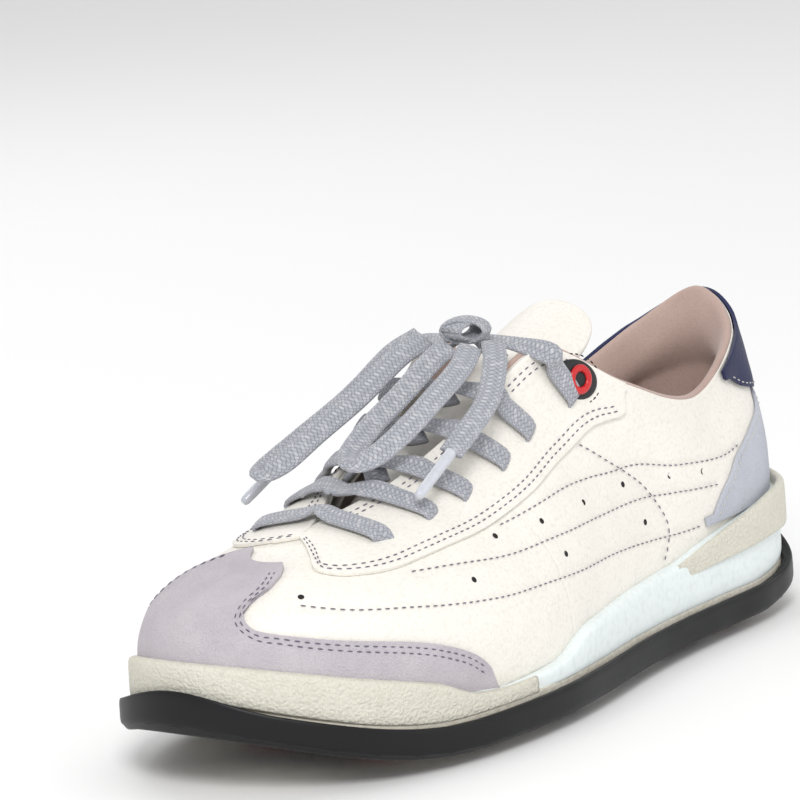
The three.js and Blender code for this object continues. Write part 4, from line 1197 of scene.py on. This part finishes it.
    def held_in(self, u: float, y: float, rim: np.ndarray) -> tuple[float, float]:
        """A place on the sole, drawn towards the sole's middle line until it lies inside the rim."""
        middle = np.array([min(max(u, self.middle_span[0]), self.middle_span[1]), self.middle_y])
        away = np.array([u, y]) - middle
        reach = rim - middle
        turn = reach[:, 0] * away[1] - reach[:, 1] * away[0]
        ahead = reach @ away > 0
        nearest = np.where(ahead, np.abs(turn) / np.linalg.norm(reach, axis=-1), np.inf).argmin()
        share = max(1.0, np.linalg.norm(away) / np.linalg.norm(reach[nearest]))
        return tuple(middle + away / share)

    def make_outsole(self) -> None:
        """Builds the outsole's plate and its lugs, and bends the lugs with the toe."""
        def plate(a: np.ndarray, b: np.ndarray) -> np.ndarray:
            r = HEEL * a
            across = b * 2 - 1
            reach = self.wall * np.clip((np.abs(across) - 0.88) / 0.12, 0, 1)
            lateral, medial = (self.side(ring, 0 * r + self.wall, 0 * r) for ring in (r, RING - r))
            p = lateral * ((1 - across) / 2)[..., None] + medial * ((1 + across) / 2)[..., None]
            p[..., 2] = SHAPE.sole_bottom(p[..., 0]) + self.lug_depth + 0.12 * reach
            return SHAPE.place(p)

        base = mesh_object("outsole_plate", mapped_grid(120, 40, plate))
        thicken(base, -self.base, 0.8)
        finish_piece(base, SHOE, MATERIALS[Look.OUTSOLE], ["outsole"])

        bm = bmesh.new()
        for row in range(10):
            for column in range(-3, 4):
                u, y = self.lug_start + row * self.pitch[0], column * self.pitch[1]
                reach = 0.3 * self.leaf[0] * np.array([math.cos(self.lean), math.sin(self.lean)])
                ends = [np.array([u, y]) + way * reach for way in (1, -1)]
                if all(self.inside(*end, 3) for end in ends):
                    self.lug(bm, u, y, self.leaf, self.lean, 1.25)
                u, y = u + self.pitch[0] / 2, y + self.pitch[1] / 2
                if self.inside(u, y, 6):
                    self.lug(bm, u, y, (self.dot, self.dot), 0, 1.0)
        rings = np.linspace(0, RING, 481)
        rim = (SHAPE.foot(rings) + SHAPE.outward(rings) * (self.wall - self.lug_inset))[:, :2]
        for v in bm.verts:
            u, y = self.held_in(v.co.x, v.co.y, rim)
            z = v.co.z + float(SHAPE.sole_bottom(np.array(u)))
            v.co = Vector(SHAPE.place(np.array([u, y, z])))
        bmesh.ops.recalc_face_normals(bm, faces=bm.faces)
        finish_piece(mesh_object("outsole_lugs", bm), SHOE, MATERIALS[Look.OUTSOLE])


# ---------------------------------------------------------------- laces
def ribbon(points: np.ndarray, normals: np.ndarray, width: float, thickness: float,
           around: int) -> tuple[bmesh.types.BMesh, np.ndarray]:
    """A flat lace with rounded edges along a route.

    Args:
        points: millimetre points of the route.
        normals: the way that the lace's flat face looks at each point.
        width: in millimetres.
        thickness: in millimetres.
        around: faces round its section.
    Returns:
        The mesh in metres and the centres of its rings.
    """
    steps = np.r_[0, np.cumsum(np.linalg.norm(np.diff(points, axis=0), axis=-1))]
    count = max(8, int(steps[-1] / 1.6))
    place = np.linspace(0, len(points) - 1, 8 * count)
    fine = catmull(points, place, False)
    run = np.r_[0, np.cumsum(np.linalg.norm(np.diff(fine, axis=0), axis=-1))]
    at = np.linspace(0, run[-1], count + 1)
    fair = np.interp(at, run, place)
    centres = catmull(points, fair, False)
    ups = unit(catmull(normals, fair, False))
    tangents = unit(np.gradient(centres, axis=0))
    sides = unit(np.cross(tangents, ups))
    lifts = np.cross(sides, tangents)

    def surface(a: np.ndarray, b: np.ndarray) -> np.ndarray:
        k = np.clip(np.rint(a * count).astype(int), 0, count)
        angle = 2 * math.pi * b
        c, s = np.cos(angle), np.sin(angle)
        x = np.sign(c) * np.abs(c) ** 0.7 * width / 2
        z = np.sign(s) * np.abs(s) ** 0.8 * thickness / 2
        return SHAPE.place(centres[k] + sides[k] * x[..., None] + lifts[k] * z[..., None])

    bm = mapped_grid(count, around, surface)
    bmesh.ops.holes_fill(bm, edges=[e for e in bm.edges if e.is_boundary])
    bmesh.ops.recalc_face_normals(bm, faces=bm.faces)
    return bm, centres


@dataclass
class Lacing:
    """The flat lace: its bar, its crossings, the bow with its two loops, and its two ends."""

    width: float = 8.0
    thickness: float = 2.0
    around: int = 20
    rows: tuple[float, ...] = (4.5, 5.3, 6.1, 6.8, 7.4)
    hole: float = 0.75
    loop_medial: tuple[tuple[float, float, float], ...] = (
        (137, 9, 117), (124, 11, 113), (107, 15, 103), (90, 20, 94), (78, 24, 87), (74, 30, 83.5),
        (82, 34, 84), (98, 31, 91), (114, 25, 100), (128, 18.5, 110.5), (138, 14, 116))
    loop_middle: tuple[tuple[float, float, float], ...] = (
        (133, -12, 116), (122, -15, 111), (106, -16, 104.5), (92, -15, 97.5), (81, -11, 91),
        (77, -4.5, 88.5), (83, 1, 90), (97, 2.5, 96.5), (112, 1, 104), (124, -1.5, 111.8),
        (133, -3, 116))
    end_medial: tuple[tuple[float, float, float], ...] = (
        (145, 17, 116.5), (137, 23, 111.5), (125, 31, 99.5), (112, 37, 91), (101, 41, 83))
    end_lateral: tuple[tuple[float, float, float], ...] = (
        (140, -16, 116.5), (132, -22, 111.5), (121, -26.5, 102.5), (108, -28, 95.5), (97, -28, 89.5))
    knot: tuple[float, float, float] = (143, -3, 119.6)

    def build(self) -> None:
        """Builds the lacing."""
        self.free_stretches()
        self.make_crossings()
        self.make_knot()

    def strand(self, name: str, points: np.ndarray, normals: np.ndarray, width: float | None = None,
               nodes: Sequence[str] = ()) -> tuple[bpy.types.Object, np.ndarray]:
        """One stretch of lace as a piece, and its ring centres."""
        bm, centres = ribbon(points, normals, width or self.width, self.thickness, self.around)
        obj = finish_piece(mesh_object(name, bm), SHOE, MATERIALS[Look.LACE], nodes)
        return obj, centres

    def free_stretches(self) -> None:
        for name, route in (("lace_loop_medial", self.loop_medial),
                            ("lace_loop_middle", self.loop_middle)):
            points = np.array(route, float)
            normals = np.tile([-0.4, -0.5, 0.75], (len(points), 1))
            obj, centres = self.strand(name + "_braid", points, normals, nodes=[name])
            self.declare(centres)
        for side, route in (("medial", self.end_medial), ("lateral", self.end_lateral)):
            points = np.array(route, float)
            normals = np.tile([-0.3, -0.4, 0.85], (len(points), 1))
            name = f"lace_end_{side}"
            obj, centres = self.strand(name + "_braid", points, normals, nodes=[name])
            aglet = self.make_aglet(side, points)
            self.declare(centres)

    def declare(self, centres: np.ndarray) -> None:
        """Works out the stretch's path in the frame; nothing is done with it."""
        path = [tuple(p) for p in SHAPE.place(centres)]

    def make_aglet(self, side: str, points: np.ndarray) -> bpy.types.Object:
        """Builds the tube that tips one end."""
        along = unit(points[-1] - points[-2])
        start = points[-1] - along * 1.0
        section = [(0.0, 0.0), (1.3, 0.1), (1.9, 0.7), (2.0, 1.6), (1.85, 2.2), (1.75, 18.0),
                   (1.6, 21.6), (1.2, 22.6), (0.0, 22.8)]
        bm = turned(section, 20)
        turn = Vector(along).to_track_quat("Z", "Y").to_matrix().to_4x4()
        for v in bm.verts:
            v.co = Vector(SHAPE.place(np.array(turn @ v.co) + start))
        return finish_piece(mesh_object(f"aglet_{side}_tube", bm), SHOE, MATERIALS[Look.AGLET],
                            [f"aglet_{side}"])

    def make_crossings(self) -> None:
        """Builds the bar and the strands that cross the tongue from hole to hole."""
        up = np.array([0, 0, 1.0])
        r = self.rows[0] - 1.1
        ends = [SHAPE.raised(np.array(x), np.array(self.hole), 1.6) for x in (r, RING - r)]
        dips = [SHAPE.raised(np.array(x), np.array(self.hole - 0.03), -0.6) for x in (r, RING - r)]
        near = [SHAPE.raised(np.array(x), np.array(0.95), 3.4) for x in (r, RING - r)]
        middle = SHAPE.top(np.array(r)) * np.array([1, 0, 1]) + np.array([0, 0, 4.6])
        n = [SHAPE.normal(np.array(x), np.array(0.9)) for x in (r, RING - r)]
        route = [dips[0], ends[0] + n[0] * 1.6, near[0], middle, near[1], ends[1] + n[1] * 1.6,
                 dips[1]]
        self.strand("lace_bar_braid", np.array(route),
                    np.array([n[0], n[0], n[0], up, n[1], n[1], n[1]]), nodes=["lace_bar"])
        for k, row in enumerate(self.rows):
            node = f"lace_crossing_{k + 1}"
            height = self.hole
            for side, ring, sign in (("lateral", row, 1), ("medial", RING - row, -1)):
                if k == len(self.rows) - 1:
                    ring = ring + 0.45 * sign
                rr = np.array(ring)
                edge = SHAPE.top(rr)
                dip = SHAPE.raised(rr, np.array(height - 0.03), -0.8)
                start = SHAPE.raised(rr, np.array(height), 2.9)
                flank = SHAPE.raised(rr, np.array(0.89), 3.6)
                rim = SHAPE.raised(rr, np.array(0.985), 4.6)
                middle = np.array([edge[0] - 4, 0, edge[2] + 3.6])
                rise = 3.2 if abs(edge[1]) < 9 else -1.6
                end = np.array([edge[0] - 8, 0.55 * sign * abs(edge[1]), edge[2] + rise])
                slopes = [SHAPE.normal(rr, np.array(t)) for t in (height, height, 0.89, 0.96)]
                self.strand(f"{node}_{side}", np.array([dip, start, flank, rim, middle, end]),
                            np.array([*slopes, up, up]),
                            nodes=[node] if side == "lateral" else ())

    def make_knot(self) -> None:
        """Builds the knot: a band of lace wound over the crossing of the loops."""
        centre = np.array(self.knot)
        turns = np.linspace(0, 2 * math.pi, 17)[:-1]
        for name, width, size, lean, nodes in (
                ("lace_knot_band", 7.6, (7.4, 3.6), 0.3, ["lace_knot"]),
                ("lace_knot_core", 9.0, (6.2, 2.6), 1.35, ())):
            ring = np.stack([0 * turns, np.cos(turns) * size[0], np.sin(turns) * size[1]], -1)
            normals = np.stack([0 * turns, np.cos(turns) / size[0], np.sin(turns) / size[1]], -1)
            spin = np.array(Matrix.Rotation(lean, 3, "Z"))
            points = np.concatenate([ring, ring[:1]]) @ spin.T + centre
            ups = np.concatenate([normals, normals[:1]]) @ spin.T
            self.strand(name, points, unit(ups), width, nodes)


# ---------------------------------------------------------------- tongue and eyelets
@dataclass
class Tongue:
    """The padded tongue."""

    sections: tuple[tuple[float, float, float, float, float], ...] = (
        (77, 69.5, 7, 4, 3.2), (90, 75, 14, 9, 3.2), (112, 84.5, 19, 11, 3.2),
        (138, 95.5, 19, 11, 3.2), (158, 102.5, 18, 10, 3.8), (165, 105.5, 18, 7, 5.0),
        (176, 110, 20, 6, 6.0), (187, 114.5, 20, 6, 6.4), (196, 118.5, 17, 5, 6.0),
        (200, 120.8, 11, 3, 4.4))

    def build(self) -> None:
        """Builds the tongue as one padded form."""
        rows = np.array(self.sections, float)

        def surface(a: np.ndarray, b: np.ndarray) -> np.ndarray:
            place = a * (len(rows) - 1)
            u, z, half, drop, thick = np.moveaxis(catmull(rows, place, False), -1, 0)
            after = catmull(rows, np.minimum(place + 0.05, len(rows) - 1), False)
            before = catmull(rows, np.maximum(place - 0.05, 0), False)
            slope = unit(np.stack([after[..., 0] - before[..., 0], 0 * u,
                                   after[..., 1] - before[..., 1]], -1))
            angle = 2 * math.pi * b
            c, s = np.cos(angle), np.sin(angle)
            side = np.sign(c) * np.abs(c) ** 0.8
            across = unit(np.stack([0 * u, half, -2 * drop * side], -1))
            normal = unit(np.cross(slope, across))
            rise = (np.sign(s) * np.abs(s) ** 0.6 - 1) * thick / 2
            cap = np.clip(np.minimum(a, 1 - a) * 22, 0, 1) ** 0.5
            rise = (rise + thick / 2) * cap - thick / 2
            p = np.stack([u, side * half * (0.9 + 0.1 * cap), z - drop * side * side], -1)
            return SHAPE.place(p + normal * rise[..., None])

        bm = mapped_grid(80, 44, surface)
        bmesh.ops.holes_fill(bm, edges=[e for e in bm.edges if e.is_boundary])
        bmesh.ops.recalc_face_normals(bm, faces=bm.faces)
        obj = mesh_object("tongue_padded", bm)
        finish_piece(obj, None, MATERIALS[Look.LEATHER], ["tongue_lower", "tongue_top"])
        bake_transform(obj)


@dataclass
class Eyelets:
    """The oval patch and red ring of the top lace hole on each side."""

    ring: float = 8.15
    height: float = 0.84
    patch: tuple[float, float] = (10.0, 7.0)

    def build(self) -> None:
        """Builds both sides."""
        for side, r in (("lateral", self.ring), ("medial", RING - self.ring)):
            self.make_patch(side, r)
            self.make_ring(side, r)

    def frame_at(self, r: float, depth: float) -> Matrix:
        """A place on the upper with its Z axis outwards."""
        rr, tt = np.array(r), np.array(self.height)
        place = Vector(SHAPE.place(SHAPE.raised(rr, tt, depth)))
        up = Vector(SHAPE.normal(rr, tt))
        return Matrix.Translation(place) @ up.to_track_quat("Z", "Y").to_matrix().to_4x4()

    def make_patch(self, side: str, r: float) -> None:
        """Builds the oval patch with its row of stitches."""
        rr = np.array(r)
        height = np.array(self.height)
        along = unit(SHAPE.upper(rr + 0.05, height) - SHAPE.upper(rr - 0.05, height))
        normal = SHAPE.normal(rr, height)
        across = np.cross(normal, along)
        centre = SHAPE.raised(rr, height, 2.5)

        def surface(a: np.ndarray, b: np.ndarray) -> np.ndarray:
            radius, angle = b, a * 2 * math.pi
            x, y = radius * np.cos(angle) * self.patch[0], radius * np.sin(angle) * self.patch[1]
            edge = np.clip((1 - radius) / 0.12, 0, 1) ** 0.5
            lift = 1.1 * edge - 1.6 * (radius ** 2)
            return SHAPE.place(centre + along * x[..., None] + across * y[..., None]
                               + normal * lift[..., None])

        obj = mesh_object(f"eyelet_oval_{side}", mapped_grid(40, 12, surface))
        finish_piece(obj, SHOE, MATERIALS[Look.BLACK], [f"eyelet_patch_{side}"])
        turn = np.linspace(0, 2 * math.pi, 29)
        points = (centre + along * (np.cos(turn) * self.patch[0] * 1.14)[:, None]
                  + across * (np.sin(turn) * self.patch[1] * 1.18)[:, None] - normal * 1.1)
        stitch_rows(f"stitches_oval_{side}", [(points, np.tile(normal, (29, 1)))], Look.DARK_THREAD,
                    1.8, 0.6)

    def make_ring(self, side: str, r: float) -> None:
        """Spins the red ring."""
        section = [(2.5, 0.0), (4.7, 0.0), (5.0, 0.35), (4.7, 0.85), (3.8, 1.25), (2.9, 0.95),
                   (2.5, 0.5), (2.5, 0.0)]
        bm = turned(section, 40)
        bmesh.ops.transform(bm, matrix=self.frame_at(r, 3.3) @ Matrix.Scale(MM, 4), verts=bm.verts)
        finish_piece(mesh_object(f"eyelet_red_{side}", bm), SHOE, MATERIALS[Look.STUD_RED],
                     [f"eyelet_ring_{side}"])


# ---------------------------------------------------------------- the stud harness
@dataclass
class Harness:
    """The rubber web that pulls over the sole, with its six studs."""

    studs: tuple[tuple[float, float], ...] = (
        (60, -23), (98, -27), (58, 16), (95, 19), (236, -25), (231, 17))
    web_bottom: float = -3.3

    def build(self) -> None:
        """Rounds the web's edges and builds the studs."""
        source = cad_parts["harness"]
        bm = bmesh.new()
        bm.from_mesh(source.data)
        bmesh.ops.remove_doubles(bm, verts=bm.verts, dist=2e-5)
        web = mesh_object("harness_web", bm)
        edge = web.modifiers.new("edge", "BEVEL")
        edge.width = 0.7 * MM
        edge.segments = 2
        edge.limit_method = "ANGLE"
        edge.angle_limit = math.radians(45)
        normals = web.modifiers.new("normals", "WEIGHTED_NORMAL")
        normals.keep_sharp = True
        finish_piece(web, HARNESS, MATERIALS[Look.HARNESS], ["harness"])
        self.make_rim()
        for k in range(len(self.studs)):
            self.make_stud(k + 1)

    def make_rim(self) -> None:
        """Builds the smooth rim that grips the edge of the sole."""
        top = both(profile([(0, 8.2), (1.2, 5.2), (10.8, 5.2), (12, 10.2)]))
        section = np.array([(5.7, 0.0), (6.4, -0.15), (7.8, 0.0), (8.5, 0.12), (8.55, 0.5),
                            (8.45, 0.85), (7.9, 1.0), (6.6, 1.0), (5.75, 0.9), (5.7, 0.5)])

        def surface(a: np.ndarray, b: np.ndarray) -> np.ndarray:
            r = RING * a
            s = catmull(section, np.mod(b, 1.0) * len(section), True)
            p = SHAPE.foot(r) + SHAPE.outward(r) * s[..., 0:1]
            ground = SHAPE.sole_bottom(p[..., 0])
            low, high = ground + self.web_bottom, ground + top(r)
            p[..., 2] = low + (high - low) * s[..., 1]
            return SHAPE.place(p)

        bm = mapped_grid(240, 40, surface)
        bmesh.ops.recalc_face_normals(bm, faces=bm.faces)
        finish_piece(mesh_object("harness_rim", bm), HARNESS, MATERIALS[Look.HARNESS])

    def spun(self, name: str, section: Sequence[tuple[float, float]], centre: tuple[float, float],
             look: Look, node: str) -> None:
        """A turned piece of a stud from (radius, height) points over the ground."""
        bm = turned(section, 36)
        for v in bm.verts:
            v.co = Vector((centre[0] + v.co.x * MM, centre[1] + v.co.y * MM, v.co.z * MM))
        finish_piece(mesh_object(name, bm), HARNESS, MATERIALS[look], [node])

    def make_stud(self, k: int) -> None:
        """Builds one stud's red body and black pin from the places of their nodes."""
        low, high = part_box(f"stud_{k}_body")
        centre = ((low[0] + high[0]) / 2, (low[1] + high[1]) / 2)
        bottom, top = low[2] / MM, high[2] / MM
        flange = bottom + 2.9
        body = [(7.2, 0.0), (7.8, -0.5), (7.8, -1.6), (7.2, -2.3), (6.2, -2.5), (5.6, -2.2),
                (5.0, -2.8), (4.0, -2.9), (3.0, -2.9)]
        body = [(3.0, top), (4.0, top), (4.0, flange), *((x, flange + z) for x, z in body),
                (3.0, top)]
        self.spun(f"stud_{k}_red", body, centre, Look.STUD_RED, f"stud_{k}_body")
        low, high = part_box(f"stud_{k}_pin")
        floor, ceiling = low[2] / MM, high[2] / MM
        pin = [(0.0, 0.1), (0.9, 0.0), (1.7, 0.05), (2.3, 0.5), (2.5, 1.2), (2.8, 1.6)]
        pin = [*((x, floor + z) for x, z in pin), (2.8, ceiling - 0.2), (2.6, ceiling),
               (0.0, ceiling)]
        self.spun(f"stud_{k}_black", pin, centre, Look.BLACK, f"stud_{k}_pin")


# ---------------------------------------------------------------- inside and studio
@dataclass
class Interior:
    """The nodes inside the shoe that keep their own shape."""

    finishes: tuple[tuple[str, Look], ...] = (
        ("shank", Look.STEEL), ("insole_board", Look.BOARD), ("sockliner", Look.TEXTILE),
        ("toe_puff", Look.BOARD), ("heel_counter_stiffener", Look.BOARD),
        ("vamp_lining", Look.TEXTILE))

    def build(self) -> None:
        """Dresses each node."""
        for name, look in self.finishes:
            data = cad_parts[name].data
            data.materials.clear()
            data.materials.append(MATERIALS[look])


@dataclass
class Studio:
    """Camera, floor and soft lights."""

    place: tuple[float, float, float] = (-1177.6, -862.7, 368.5)
    yaw: float = 0.6474
    pitch: float = -0.1838
    roll: float = -0.0668
    focal: float = 4542.3
    frame_px: float = 800.0
    sensor: float = 36.0

    def build(self) -> None:
        """Sets the camera, the floor, the world and the lights."""
        camera_data = bpy.data.cameras.new("camera")
        camera_data.sensor_width = self.sensor
        camera_data.lens = self.focal / self.frame_px * self.sensor
        camera_data.clip_end = 20.0
        camera = bpy.data.objects.new("camera", camera_data)
        ahead = Vector((math.cos(self.pitch) * math.cos(self.yaw),
                        math.cos(self.pitch) * math.sin(self.yaw), math.sin(self.pitch)))
        right = ahead.cross(Vector((0, 0, 1))).normalized()
        up = right.cross(ahead)
        right, up = (right * math.cos(self.roll) + up * math.sin(self.roll),
                     up * math.cos(self.roll) - right * math.sin(self.roll))
        turn = Matrix((right, up, -ahead)).transposed()
        place = Vector(SHAPE.place(np.array(self.place) + np.array([FOOT_LENGTH / 2, 0, 0])))
        camera.matrix_world = Matrix.Translation(place) @ turn.to_4x4()
        bpy.context.scene.collection.objects.link(camera)
        bpy.context.scene.camera = camera

        bm = bmesh.new()
        bmesh.ops.create_grid(bm, x_segments=2, y_segments=2, size=6.0)
        floor = mesh_object("floor", bm)
        material = bpy.data.materials.new("floor")
        material.use_nodes = True
        shader = material.node_tree.nodes["Principled BSDF"]
        shader.inputs["Base Color"].default_value = (0.93, 0.93, 0.93, 1.0)
        shader.inputs["Roughness"].default_value = 0.9
        floor.data.materials.append(material)

        world = bpy.data.worlds.new("studio")
        world.use_nodes = True
        world.node_tree.nodes["Background"].inputs[0].default_value = (1.0, 1.0, 1.0, 1.0)
        world.node_tree.nodes["Background"].inputs[1].default_value = 0.72
        bpy.context.scene.world = world
        bpy.context.scene.view_settings.view_transform = "Standard"
        for name, where, size, power in (("key", (-1.3, -0.9, 1.3), 0.6, 20.0),
                                         ("fill", (0.6, -1.4, 0.7), 1.2, 3.0),
                                         ("back", (0.6, 1.3, 1.3), 1.0, 6.0)):
            light_data = bpy.data.lights.new(name, "AREA")
            light_data.size = size
            light_data.energy = power
            light = bpy.data.objects.new(name, light_data)
            spot = Vector(where)
            light.matrix_world = (Matrix.Translation(spot)
                                  @ (Vector((0, 0, 0.05)) - spot).to_track_quat("-Z", "Y")
                                  .to_matrix().to_4x4())
            bpy.context.scene.collection.objects.link(light)


def main() -> None:
    """Builds the camera, the cords and then every other part of the shoe."""
    Studio().build()
    Lacing().build()
    Tongue().build()
    Upper().build()
    Eyelets().build()
    Sole().build()
    Harness().build()
    Interior().build()


if __name__ == "__main__":
    main()
